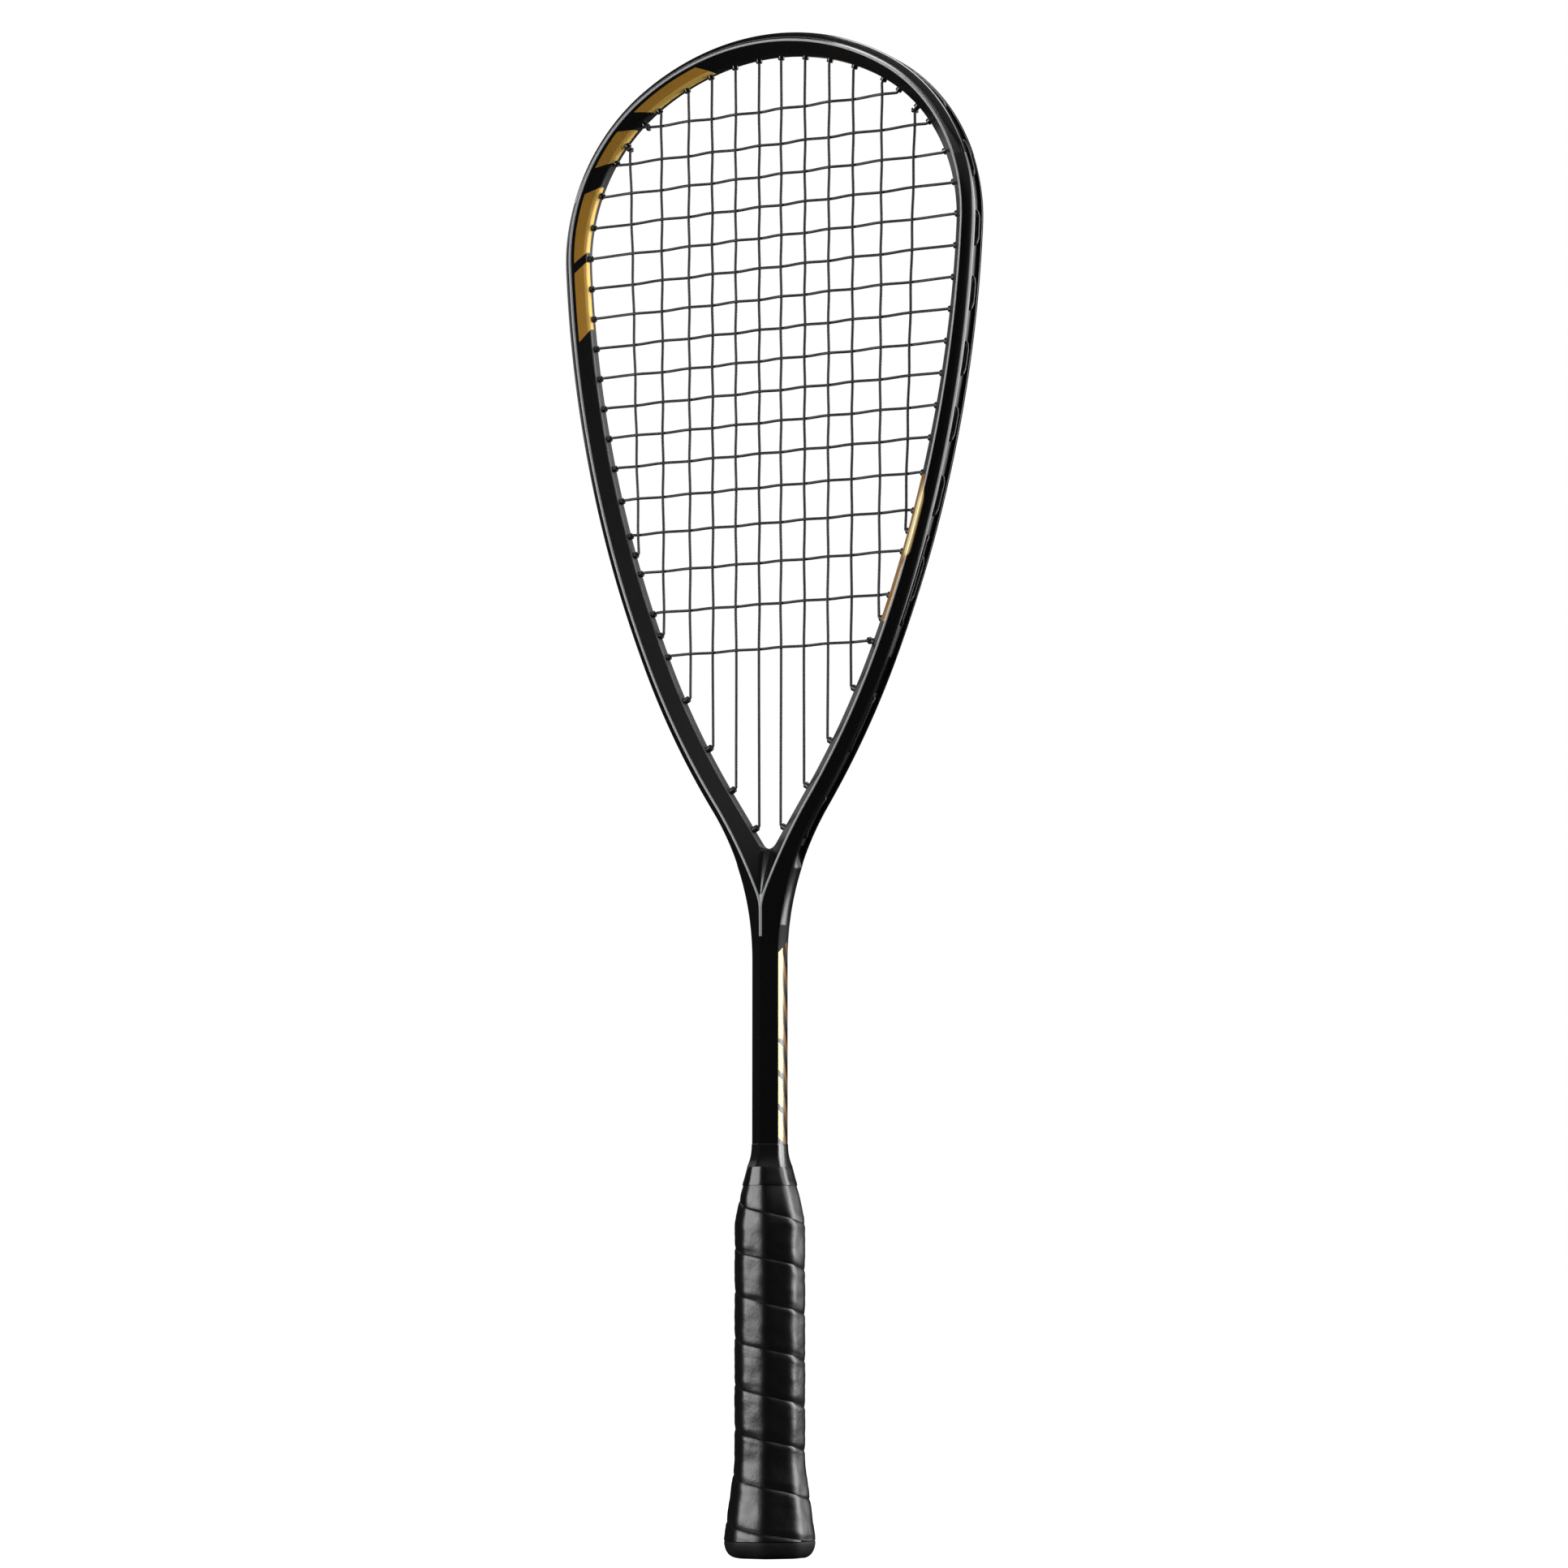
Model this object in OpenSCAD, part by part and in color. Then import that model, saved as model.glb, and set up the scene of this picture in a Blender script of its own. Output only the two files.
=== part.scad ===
// Squash racket: hollow moulded frame, bumper and grommet strips, two-piece string bed, wrapped handle.
// The origin is the centre of the butt face. +Z runs up the shaft, X crosses the strings, the front is -Y.

/* [Overall] */
// Length from the butt face to the top of the bumper guard
overall_length = 685; // [670:1:690]

/* [Head outline] */
// Radius of the arc over the top of the head
top_r = 119.6; // [112:0.1:127]
// Angle of the top arc on each side of the centre line
top_angle = 32.9; // [31:0.1:35]
// Radius of the shoulder arcs
shoulder_r = 89; // [82:0.1:96]
// Angle of each shoulder arc
shoulder_angle = 60.1; // [57:0.1:63]
// Radius of the long arcs down the sides
side_r = 572; // [500:1:640]
// Angle of each side arc
side_angle = 19.6; // [18:0.1:21]
// Radius of the arcs down the legs
leg_r = 383; // [340:1:430]
// Lean of each leg where it heads for the shaft
leg_lean = 33.3; // [31:0.1:36]
// Straight length of each leg before it bends into the shaft
leg_straight = 4; // [2:0.5:8]

/* [Frame section] */
// Width of the hoop, from its outer to its inner wall
hoop_w = 10; // [9:0.1:12]
// Width of the legs, measured the same way
leg_w = 10.7; // [9.5:0.1:13]
// Depth of the frame from front ridge to back ridge
frame_depth = 18.4; // [16:0.1:21]
// Distance of the ridges from the outer wall
ridge_in = 4.5; // [3.5:0.1:5.5]
// Share of a straight run that the ridges keep in the throat, where 0 follows the outer wall
ridge_straight = 0.46; // [0.3:0.02:0.7]
// Width of the flat on the outer wall
outer_flat = 9.4; // [8.4:0.1:11]
// Width of the flat on the inner wall
inner_flat = 4.6; // [4:0.1:6]
// Width of the shaft from side to side
shaft_w = 13.1; // [12:0.1:15]
// Bulge of the shaft's sides
shaft_crown = 0.4; // [0.2:0.1:0.8]
// Width of the rounded bottom of the crotch between the legs
crotch_w = 6; // [3:0.5:9]
// Thickness of the moulded wall
frame_wall = 1.3; // [1:0.1:1.8]
// Thickness of the web where the two legs run side by side
web = 1.6; // [1:0.1:2.4]
// Height of the shaft's lower end above the butt face
shaft_end_z = 15; // [11:0.5:20]

/* [String groove and grommets] */
// Depth of the groove in the outer wall
groove_depth = 2.4; // [2.2:0.1:3]
// Width of the groove's floor
groove_w = 5.6; // [5.4:0.1:6.2]
// Draft of each groove wall
groove_draft = 0.35; // [0.2:0.05:0.6]
// Groove length past the lowest hole
groove_run = 7; // [5:0.5:12]
// Thickness of a grommet strip's base
strip_t = 0.8; // [0.6:0.1:1]
// Strip length past its first and last barrels
strip_lap = 4; // [3:0.5:5]
// Outer diameter of a grommet barrel
barrel_d = 3; // [2.8:0.1:3.4]
// Bore of a grommet barrel
barrel_bore = 1.9; // [1.7:0.1:2]
// Length of each barrel that stands inside the hoop
nub = 1.6; // [1.2:0.1:2.2]
// Length of the throat barrels that stands inside the hoop
throat_nub = 2.6; // [2:0.1:3.4]

/* [Bumper guard] */
// Distance along the outline from the top centre to each end of the bumper
bumper_reach = 129.5; // [126:0.5:133]
// Depth of the seat for the bumper in the outer wall
bumper_seat = 1.2; // [0.9:0.1:1.5]
// Width of the bumper's string channel
channel_w = 4.4; // [4.2:0.1:4.6]
// Chamfer on the bumper's outer edges
bumper_chamfer = 0.4; // [0.2:0.1:0.8]

/* [Strings] */
// Diameter of the string
string_d = 1.2; // [1.05:0.05:1.3]
// Distance of the two middle main strings from each other
main_mid = 11.4; // [10:0.1:13]
// Distance between main strings near the middle
main_pitch = 12.4; // [11.5:0.1:13]
// Growth of that distance for each of the two outer gaps
main_open = 2.1; // [1.8:0.05:2.5]
// Spacing of the mains at the throat, as a share of that at the top
main_taper = 0.96; // [0.94:0.01:1]
// Number of cross strings
crosses = 17; // [15:1:17]
// Distance between cross strings
cross_pitch = 14.2; // [13.5:0.1:14.6]
// Place of the first cross hole, as a share of the way between the top holes of the two outer mains
first_cross = 0.43; // [0.4:0.01:0.6]
// Extra distance between the first two crosses
cross_top_open = 1.8; // [0:0.1:3]
// Number of even gaps below the first cross
cross_even = 11; // [9:1:12]
// Growth of the distance for each gap below the even ones
cross_open = 1.2; // [0.6:0.1:1.5]
// Least distance of the last cross's bend from the next main, which leaves room for the knot
knot_room = 7; // [6:0.5:9]
// Distance of each run in the groove from the groove's middle line
lane = 1.4; // [1.3:0.05:1.45]
// Free length between a barrel's mouth and the string's bend
bend_free = 0.7; // [0.6:0.1:1]

/* [Handle] */
// Width of the core across the face of the racket
core_w = 26; // [23:0.1:29]
// Depth of the core from front to back
core_depth = 26.6; // [24:0.1:30]
// Height of the foot of the core's flare
flare_top_z = 41; // [39:1:50]
// Growth of the core's half width at the bottom of the flare
flare = 4.5; // [3:0.1:6]
// Height at which the core starts to narrow towards the shaft
cone_z = 146.5; // [135:0.5:150]
// Height of the top of the wrapped cone
cone_top_z = 171; // [168:0.5:175]
// Height of the core's tip on the shaft
core_tip_z = 180; // [177:0.5:186]
// Cover of the core over the shaft at the top of the cone
cone_cover = 1.2; // [1:0.1:2.5]
// Cover of the core over the shaft at its tip
tip_cover = 0.8; // [0.75:0.05:1]
// Depth of the step that the butt cap is pressed on to
cap_step = 1.2; // [0.9:0.1:1.6]

/* [Butt cap] */
// Height of the butt cap's bare rim
rim_h = 7.5; // [6:0.5:10]
// Height of the butt cap
cap_h = 36; // [30:1:38]
// Thickness of the butt cap's floor
cap_floor = 6; // [4:0.5:9]
// Height of a staple's middle
staple_z = 24; // [18:1:28]
// Width of a staple's crown
staple_w = 9; // [7:0.5:10]
// Thickness of the staple wire
staple_t = 0.8; // [0.6:0.1:1]
// Length of a staple's legs
staple_leg = 6; // [5:0.5:7]

/* [Grip] */
// Thickness of the grip tape
tape_t = 1.9; // [1.5:0.1:2.2]
// Height gained by the tape in one turn
tape_pitch = 20; // [18:0.5:25]
// Gap between two turns of the tape
tape_gap = 0.55; // [0.5:0.05:0.8]
// Width of the thinned edges of the tape
tape_edge = 1.2; // [0.8:0.1:2]
// Drop of the tape's edges below its face
tape_drop = 0.6; // [0.3:0.1:0.9]
// Height of the finishing tape's lower edge
band_z = 163; // [158:0.5:165]
// Thickness of the finishing tape
band_t = 0.4; // [0.3:0.1:0.6]

/* [Fit] */
// Clearance between pieces that are pressed or glued together
fit = 0.05; // [0.02:0.01:0.1]
// Clearance on each face of the grip tape
tape_fit = 0.15; // [0.12:0.01:0.2]
// Clearance between strings that cross
string_clear = 0.08; // [0.06:0.01:0.12]

/* [Hidden] */
$fn = 24;

// One half of the outer wall is a chain of tangent arcs from the top centre to the end of the shaft.
// A heading h is the angle of travel below +X, and the wall's outward side is turned 90 degrees from it.
function travel(h) = [cos(h), -sin(h)];
function outward(h) = [sin(h), cos(h)];
function arc_end(p, h, r, a, turn) = p - turn * r * outward(h) + turn * r * outward(h + turn * a);
function arc_len(r, a) = r * a * PI / 180;
leg_angle = 90 + leg_lean - top_angle - shoulder_angle - side_angle;
h_shoulder = top_angle;
h_side = h_shoulder + shoulder_angle;
h_leg = h_side + side_angle;
h_lean = 90 + leg_lean;
p_top = [0, overall_length];
p_shoulder = arc_end(p_top, 0, top_r, top_angle, 1);
p_side = arc_end(p_shoulder, h_shoulder, shoulder_r, shoulder_angle, 1);
p_leg = arc_end(p_side, h_side, side_r, side_angle, 1);
p_lean = arc_end(p_leg, h_leg, leg_r, leg_angle, 1);
p_throat = p_lean + leg_straight * travel(h_lean);
throat_r = (p_throat.x - shaft_w / 2) / (1 - cos(leg_lean));
p_shaft = arc_end(p_throat, h_lean, throat_r, leg_lean, -1);

// Each stretch: start, heading, radius (0 for a straight), turn, length, number of facets
stretches = [
    [p_top, 0, top_r, 1, arc_len(top_r, top_angle), 9],
    [p_shoulder, h_shoulder, shoulder_r, 1, arc_len(shoulder_r, shoulder_angle), 14],
    [p_side, h_side, side_r, 1, arc_len(side_r, side_angle), 11],
    [p_leg, h_leg, leg_r, 1, arc_len(leg_r, leg_angle), 6],
    [p_lean, h_lean, 0, 0, leg_straight, 1],
    [p_throat, h_lean, throat_r, -1, arc_len(throat_r, leg_lean), 14],
    [p_shaft, 90, 0, 0, p_shaft.y - shaft_end_z, 1]
];
function total(v, n) = n == 0 ? 0 : v[n - 1] + total(v, n - 1);
starts = [for (i = [0 : len(stretches)]) total([for (g = stretches) g[4]], i)];
s_side = starts[2];
s_leg = starts[3];
s_throat = starts[5];
s_shaft = starts[6];
s_end = starts[7];

// Point and heading of the outer wall, a distance s along it
function stretch_at(s) = max([for (i = [0 : len(stretches) - 1]) if (i == 0 || starts[i] <= s) i]);
function wall(s) =
    let (i = stretch_at(s), g = stretches[i], e = s - starts[i], h = g[1])
    g[2] == 0 ? [g[0] + e * travel(h), h]
    : let (h2 = h + g[3] * e / g[2] * 180 / PI)
      [g[0] - g[3] * g[2] * outward(h) + g[3] * g[2] * outward(h2), h2];

// A point u inside the wall and y behind the middle plane; a negative s is on the left side
function at(s, u, y) =
    let (w = wall(abs(s)), p = w[0] - u * outward(w[1]))
    [sign(s) * p.x, y, p.y];

function ease(t) = let (c = min(1, max(0, t))) c * c * (3 - 2 * c);
function mix(a, b, t) = a + (b - a) * t;

// The inner wall runs on straight where the outer wall bends away into the shaft, and the ridge bends between the two
function straight_on(s, u) =
    s <= s_throat ? u
    : let (w = wall(s), m = outward(h_lean), p = p_throat - u * m)
      ((w[0] - p) * m) / (outward(w[1]) * m);
function width_at(s) = straight_on(s, mix(hoop_w, leg_w, ease((s - s_side) / (s_leg - s_side))));
function ridge_at(s) = mix(ridge_in, straight_on(s, ridge_in), ridge_straight);

// Where the string groove and the bumper's seat are cut
string_r = string_d / 2;
function groove_at(s) = groove_depth * (1 - ease((s - s_groove_end) / groove_run));
function seat_at(s) = s <= bumper_reach + fit ? bumper_seat : 0;
function crown_at(s, y) =
    -shaft_crown * ease((s - s_groove_end) / groove_run) * (1 - pow(2 * y / outer_flat, 2));

// Holes: the string bends just past the mouth of its barrel
function nub_at(s) = s > s_leg ? throat_nub : nub;
function bend(s) = at(s, width_at(abs(s)) + nub_at(abs(s)) + bend_free, 0);
function solve(f, goal, lo, hi, n = 26) =
    let (m = (lo + hi) / 2)
    n == 0 ? m
    : (f(m) - goal) * (f(lo) - goal) > 0 ? solve(f, goal, m, hi, n - 1)
    : solve(f, goal, lo, m, n - 1);
bend_x = function (s) bend(s).x;
bend_z = function (s) bend(s).z;

// Main strings are counted from the middle. The first cross lies between the holes of the two outer mains,
// and these two end on the leg between the holes of the last four crosses.
mains_half = 6;
outer = mains_half - 1;
function main_x(k) = main_mid / 2 + k * main_pitch + main_open * max(0, k - 3) * (k - 2) / 2;
function throat_x(k) = main_taper * main_x(k);
top_hole = [for (k = [0 : outer]) solve(bend_x, main_x(k), 0, s_side)];
function cross_drop(j) =
    let (m = max(0, j - cross_even))
    j * cross_pitch + (j > 0 ? cross_top_open : 0) + cross_open * m * (m + 1) / 2;
first_cross_z = bend(mix(top_hole[outer - 1], top_hole[outer], first_cross)).z;
last_cross_z = bend(solve(bend_x, throat_x(outer - 2) + knot_room, s_side, s_shaft)).z;
cross_z = [for (j = [0 : crosses - 1]) max(first_cross_z - cross_drop(j), last_cross_z)];
cross_hole = [for (z = cross_z) solve(bend_z, z, 0, s_throat)];
function between_crosses(j) = (cross_hole[crosses - j] + cross_hole[crosses - j - 1]) / 2;
bottom_hole = [for (k = [0 : outer])
    k == outer ? between_crosses(3) : k == outer - 1 ? between_crosses(1)
    : solve(bend_x, throat_x(k), s_side, s_shaft)];
s_groove_end = bottom_hole[0] + groove_run;
holes = concat(top_hole, bottom_hole, cross_hole);
bumper_holes = [for (s = holes) if (s < bumper_reach - strip_lap / 2) s];
strip_holes = [for (s = holes) if (s > bumper_reach && s <= max(cross_hole)) s];
throat_holes = [for (s = bottom_hole) if (s > max(cross_hole)) s];

// Stations along the half outline, with a pair at the end of the bumper's seat
function sorted(v) =
    len(v) < 2 ? v
    : let (p = v[floor(len(v) / 2)])
      concat(sorted([for (x = v) if (x < p) x]), [p], sorted([for (x = v) if (x > p) x]));
function spread(v, least) = [for (i = [0 : len(v) - 1]) if (i == 0 || v[i] - v[i - 1] > least) v[i]];
facet_s = [for (i = [0 : len(stretches) - 1])
    for (k = [0 : stretches[i][5] - 1]) starts[i] + stretches[i][4] * k / stretches[i][5]];
seat_s = [bumper_reach + fit, bumper_reach + fit + 0.2];
groove_s = [for (k = [0 : 3]) s_groove_end + groove_run * k / 3];
far_from = function (x, v) min([for (q = v) abs(x - q)]) > 1.2;
stations = spread(sorted(concat([for (x = facet_s) if (far_from(x, concat(seat_s, groove_s))) x],
    seat_s, groove_s, [s_end])), 0.05);

// A closed skin through rings of points; caps are the faces of an end ring
function side_faces(n, m) = [for (i = [0 : n - 2]) for (j = [0 : m - 1]) for (f = [0, 1])
    let (a = i * m + j, b = i * m + (j + 1) % m, c = a + m, d = b + m)
    f == 0 ? [a, d, b] : [a, c, d]];
function flip(v) = [for (i = [len(v) - 1 : -1 : 0]) v[i]];
module skin(rings, caps) {
    m = len(rings[0]);
    last = (len(rings) - 1) * m;
    polyhedron([for (r = rings) each r],
        concat(side_faces(len(rings), m), caps,
            [for (c = caps) flip([for (i = c) i + last])]), 10);
}

// A round cord along a list of points, mitred at the bends
function unit(v) = v / norm(v);
function cord_ring(p, i, r, sides) =
    let (n = len(p) - 1,
        a = i > 0 ? unit(p[i] - p[i - 1]) : unit(p[1] - p[0]),
        b = i < n ? unit(p[i + 1] - p[i]) : a,
        t = unit(a + b),
        e = unit(cross([0, 1, 0], t)),
        f = cross(t, e),
        stretch = 1 / max(0.6, sqrt((1 + a * b) / 2)))
    [for (k = [0 : sides - 1])
        p[i] + r * stretch * cos(360 * k / sides + 30) * e + r * sin(360 * k / sides + 30) * f];
module cord(p, r, sides = 6) {
    skin([for (i = [0 : len(p) - 1]) cord_ring(p, i, r, sides)], [[for (k = [0 : sides - 1]) k]]);
}

// An octagonal body through stations of [height, half width, half depth]
function oct_unit(a) = 1 / cos((a + 22.5) - 45 * floor((a + 22.5) / 45) - 22.5) * [cos(a), sin(a)];
function oct_point(a, hx, hy, z) = let (q = oct_unit(a)) [hx * q.x, hy * q.y, z];
module oct_body(stations) {
    skin([for (q = stations) [for (k = [0 : 7]) oct_point(22.5 + 45 * k, q[1], q[2], q[0])]],
        [[for (k = [0 : 7]) k]]);
}

// Frame: rings of the right half; the left half is its mirror image and both share the middle plane
half_depth = frame_depth / 2;
half_outer = outer_flat / 2;
half_inner = inner_flat / 2;
half_groove = groove_w / 2;
function valley_y(xr, xi) = mix(half_depth, half_inner, min(1, xr / max(0.01, xr - xi)));
function frame_ring(s) =
    let (g = groove_at(s), seat = seat_at(s), lip = half_groove + groove_draft,
        r = at(s, ridge_at(s), half_depth),
        q = at(s, width_at(s), half_inner),
        w = wall(s), n = outward(w[1]), u0 = w[0].x / max(0.01, n.x),
        met = s > s_throat && q.x < crotch_w / 2,
        closed = s > s_throat && r.x < 0.4,
        ridge = closed ? at(s, u0, half_depth) : r,
        vy = closed ? half_depth - 1 : min(half_depth - 1, valley_y(r.x, min(q.x, 0))),
        inner = met ? at(s, u0, vy) : q,
        half = [
            at(s, max(g, seat) + crown_at(s, half_groove), half_groove),
            at(s, seat + crown_at(s, lip), lip),
            at(s, seat, half_outer),
            [closed ? 0 : ridge.x, ridge.y, ridge.z],
            [met || s == 0 ? (s == 0 ? inner.x : 0) : inner.x, inner.y, inner.z]
        ])
    concat([for (p = half) [p.x, -p.y, p.z]], flip(half));
frame_end = [[0, 1, 2], [0, 2, 3], [0, 3, 4], [0, 4, 5], [0, 5, 9], [9, 5, 6], [9, 6, 7], [9, 7, 8]];
module frame_skin() {
    rings = [for (s = stations) frame_ring(s)];
    n = len(rings);
    right = [for (r = rings) each r];
    left = [for (p = right) [-p.x, p.y, p.z]];
    faces = concat(side_faces(n, 10), [for (c = frame_end) flip([for (i = c) i + (n - 1) * 10])]);
    shown = [for (f = faces) if (max([for (i = f) abs(right[i].x)]) > 0.001) f];
    polyhedron(concat(right, left),
        concat(shown, [for (f = shown) flip([for (i = f) i + n * 10])]), 10);
}

// Hollow of the frame: one tube that runs up one leg, round the hoop and down the other
function hollow_ring(s) =
    let (a = abs(s), uo = max(groove_at(a), seat_at(a)) + frame_wall,
        ui = width_at(a) - frame_wall, ur = max(ridge_at(a), uo + 0.4),
        slope = (half_depth - half_inner) / (width_at(a) - ridge_at(a)),
        yr = half_depth - frame_wall * 1.7,
        yo = min(yr - 0.3, half_outer + uo - frame_wall * 1.5),
        yi = max(0.8, half_inner - frame_wall * 0.3),
        half = [at(a, uo, yo), at(a, ur, yr), at(a, ui, yi)],
        kept = [for (p = half) [max(p.x, web / 2), p.y, p.z]],
        side = s < 0 ? -1 : 1,
        set = a > s_throat ? kept : half)
    [for (p = concat([for (p = set) [p.x, -p.y, p.z]], flip(set))) [side * p.x, p.y, p.z]];
module frame_hollow() {
    inside = [for (s = stations) if (s > 0 && s < s_end) s];
    low = concat(inside, [s_end + 1]);
    skin([for (s = concat([for (x = flip(low)) -x], low)) hollow_ring(s)], [[0, 1, 2, 3, 4, 5]]);
}

// Straight bores along the wall's inward direction
module on_wall(s, u) {
    h = wall(abs(s))[1];
    translate(at(s, u, 0)) rotate([0, sign(s) * (h - 180), 0]) children();
}
module frame_holes(side) {
    for (s = holes) on_wall(side * s, -1) cylinder(h = width_at(s) + 2, d = barrel_d + 2 * fit);
}

module frame() {
    color("#17181a") difference() {
        frame_skin();
        frame_hollow();
        frame_holes(1);
        frame_holes(-1);
    }
}

// Grommet strips lie on the groove's floor and carry a barrel for each hole
strip_half = half_groove - fit;
function between(a, b) = spread(sorted(concat([a, b], [for (x = facet_s) if (x > a + 1 && x < b - 1) x])), 0.05);
module barrels(list, side) {
    for (s = list) on_wall(side * s, groove_depth - fit - strip_t / 2)
        cylinder(h = width_at(s) - groove_depth + strip_t / 2 + nub_at(s), d = barrel_d);
}
module barrel_bores(list, side) {
    for (s = list) on_wall(side * s, -1) cylinder(h = width_at(s) + nub_at(s) + 2, d = barrel_bore);
}
module grommet_strip(list, side) {
    lo = groove_depth - fit;
    hi = lo - strip_t;
    path = between(min(list) - strip_lap / 2, max(list) + strip_lap);
    difference() {
        union() {
            skin([for (s = side > 0 ? path : [for (x = flip(path)) -x])
                [at(s, hi, -strip_half), at(s, lo, -strip_half), at(s, lo, strip_half), at(s, hi, strip_half)]],
                [[0, 1, 2, 3]]);
            barrels(list, side);
        }
        barrel_bores(list, side);
    }
}
module right_grommet_strip() {
    color("#202124") grommet_strip(strip_holes, 1);
}
module left_grommet_strip() {
    color("#202124") grommet_strip(strip_holes, -1);
}
module right_throat_strip() {
    color("#202124") grommet_strip(throat_holes, 1);
}
module left_throat_strip() {
    color("#202124") grommet_strip(throat_holes, -1);
}

// Bumper guard: a channel over the top of the hoop, with the top grommets in its floor
module bumper_guard() {
    lo = groove_depth - fit;
    hi = lo - strip_t;
    seat = bumper_seat - fit;
    ch = channel_w / 2;
    half = between(0, bumper_reach);
    path = concat([for (x = flip(half)) if (x > 0) -x], [0.001], [for (x = half) if (x > 0) x]);
    color("#1c1d1f") difference() {
        union() {
            skin([for (s = path) [
                at(s, hi, -ch), at(s, 0, -ch), at(s, 0, -half_outer + bumper_chamfer), at(s, seat, -half_outer),
                at(s, seat, -strip_half), at(s, lo, -strip_half), at(s, lo, strip_half), at(s, seat, strip_half),
                at(s, seat, half_outer), at(s, 0, half_outer - bumper_chamfer), at(s, 0, ch), at(s, hi, ch)]],
                [[0, 1, 4, 5], [1, 2, 3, 4], [5, 6, 11, 0], [11, 6, 7, 10], [10, 7, 8, 9]]);
            barrels(bumper_holes, 1);
            barrels(bumper_holes, -1);
        }
        barrel_bores(bumper_holes, 1);
        barrel_bores(bumper_holes, -1);
    }
}

// Strings: each is one cord, through the barrels and along the groove from hole to hole
run_u = groove_depth - strip_t - fit - string_r - 0.2;
tail_u = groove_depth;
lane_step = 3.5;
function run(a, b, y) =
    let (d = sign(b - a), n = max(1, ceil(abs(b - a) / 11)))
    [for (i = [0 : n]) let (s = mix(a + d * lane_step, b - d * lane_step, i / n)) at(s, run_u, y)];

// Main strings, counted from the left
mains = 2 * mains_half;
function main_k(i) = i < mains_half ? mains_half - 1 - i : i - mains_half;
function main_side(i) = i < mains_half ? -1 : 1;
function main_top(i) = main_side(i) * top_hole[main_k(i)];
function main_bottom(i) = main_side(i) * bottom_hole[main_k(i)];
function main_down(i) = [
    at(main_top(i), i == 0 || i == mains - 1 ? tail_u : run_u, 0), bend(main_top(i)),
    bend(main_bottom(i)), at(main_bottom(i), run_u, 0)];
main_route = [for (i = [0 : mains - 1]) each concat(
    i % 2 == 0 ? main_down(i) : flip(main_down(i)),
    i == mains - 1 ? []
    : i % 2 == 0 ? run(main_bottom(i), main_bottom(i + 1), -lane)
    : run(main_top(i), main_top(i + 1), -lane))];
module main_string() {
    color("#3a3b3e") cord(main_route, string_r);
}

// Cross strings, counted from the top, woven over and under the mains
function main_x_at(i, z) =
    let (a = bend(main_top(i)), b = bend(main_bottom(i)))
    mix(a.x, b.x, (a.z - z) / (a.z - b.z));
function cross_across(j) =
    let (s = cross_hole[j], e = bend(s),
        met = [for (i = [0 : mains - 1]) if (abs(main_x_at(i, e.z)) < e.x - string_d) i])
    concat([at(-s, j == 0 ? tail_u : run_u, 0), bend(-s)],
        [for (i = met) [main_x_at(i, e.z), ((i + j) % 2 * 2 - 1) * (string_d + string_clear), e.z]],
        [bend(s), at(s, j == crosses - 1 ? tail_u : run_u, 0)]);
cross_route = [for (j = [0 : crosses - 1]) each concat(
    j % 2 == 0 ? cross_across(j) : flip(cross_across(j)),
    j == crosses - 1 ? []
    : let (d = j % 2 == 0 ? 1 : -1) run(d * cross_hole[j], d * cross_hole[j + 1], lane))];
module cross_string() {
    color("#2e2f32") cord(cross_route, string_r);
}

// Tie-off knots: two turns of string round the run, close to the barrel's mouth
knot_turn = string_r + fit + string_r;
knot_off = 1.3;
module knot(p, q) {
    d = unit(q - p);
    translate(p + knot_off * d) rotate([0, acos(d.z), atan2(d.y, d.x)]) rotate_extrude() {
        translate([knot_turn, string_r]) circle(string_r);
        translate([knot_turn, string_r * 2.9]) circle(string_r);
        translate([knot_turn - string_r, string_r]) square([string_r, string_r * 1.9]);
    }
}
module tie_off_knots() {
    ends = [main_down(0), main_down(mains - 1), cross_across(0), flip(cross_across(crosses - 1))];
    color("#3a3b3e") for (e = ends) knot(e[1], e[2]);
}

// Handle core: half sizes of the surface under the tape at a height
tip = [shaft_w / 2 + tip_cover, half_depth + tip_cover];
cone_top = [shaft_w / 2 + cone_cover, half_depth + cone_cover];
core = [core_w / 2, core_depth / 2];
function under_tape(z) =
    z < flare_top_z ? core + [flare, flare] * (flare_top_z - z) / (flare_top_z - rim_h)
    : z < cone_z ? core
    : core + (cone_top - core) * min(1, (z - cone_z) / (cone_top_z - cone_z));
function level(z, grow) = let (q = under_tape(z)) [z, q.x + grow, q.y + grow];
function cone_part(z, grow, n = 6) = [for (k = [0 : n]) level(mix(z, cone_top_z, k / n), grow)];
spigot = core - [cap_step, cap_step];
module shaft_bore(grow) {
    a = shaft_w / 2 + grow;
    b = half_depth + grow;
    c = half_outer + grow;
    lip = half_groove + groove_draft;
    side = [for (y = [-lip, -half_groove, half_groove, lip]) [a - crown_at(s_end, y), y]];
    half = concat([[0, -b], [a, -c]], side, [[a, c]]);
    polygon(concat(half, -half));
}
module staple_slots(grow) {
    for (d = [-1, 1]) staple_at(d, grow);
}
module staple_at(d, grow) {
    y = under_tape(staple_z + staple_t).y - 0.1;
    for (x = [-1, 1]) translate([x * (staple_w - staple_t) / 2, d * (y - staple_leg / 2), staple_z])
        cube([staple_t + 2 * grow, staple_leg + 2 * grow, staple_t + 2 * grow], center = true);
    translate([0, d * (y - staple_t / 2), staple_z])
        cube([staple_w + 2 * grow, staple_t + 2 * grow, staple_t + 2 * grow], center = true);
}
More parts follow.
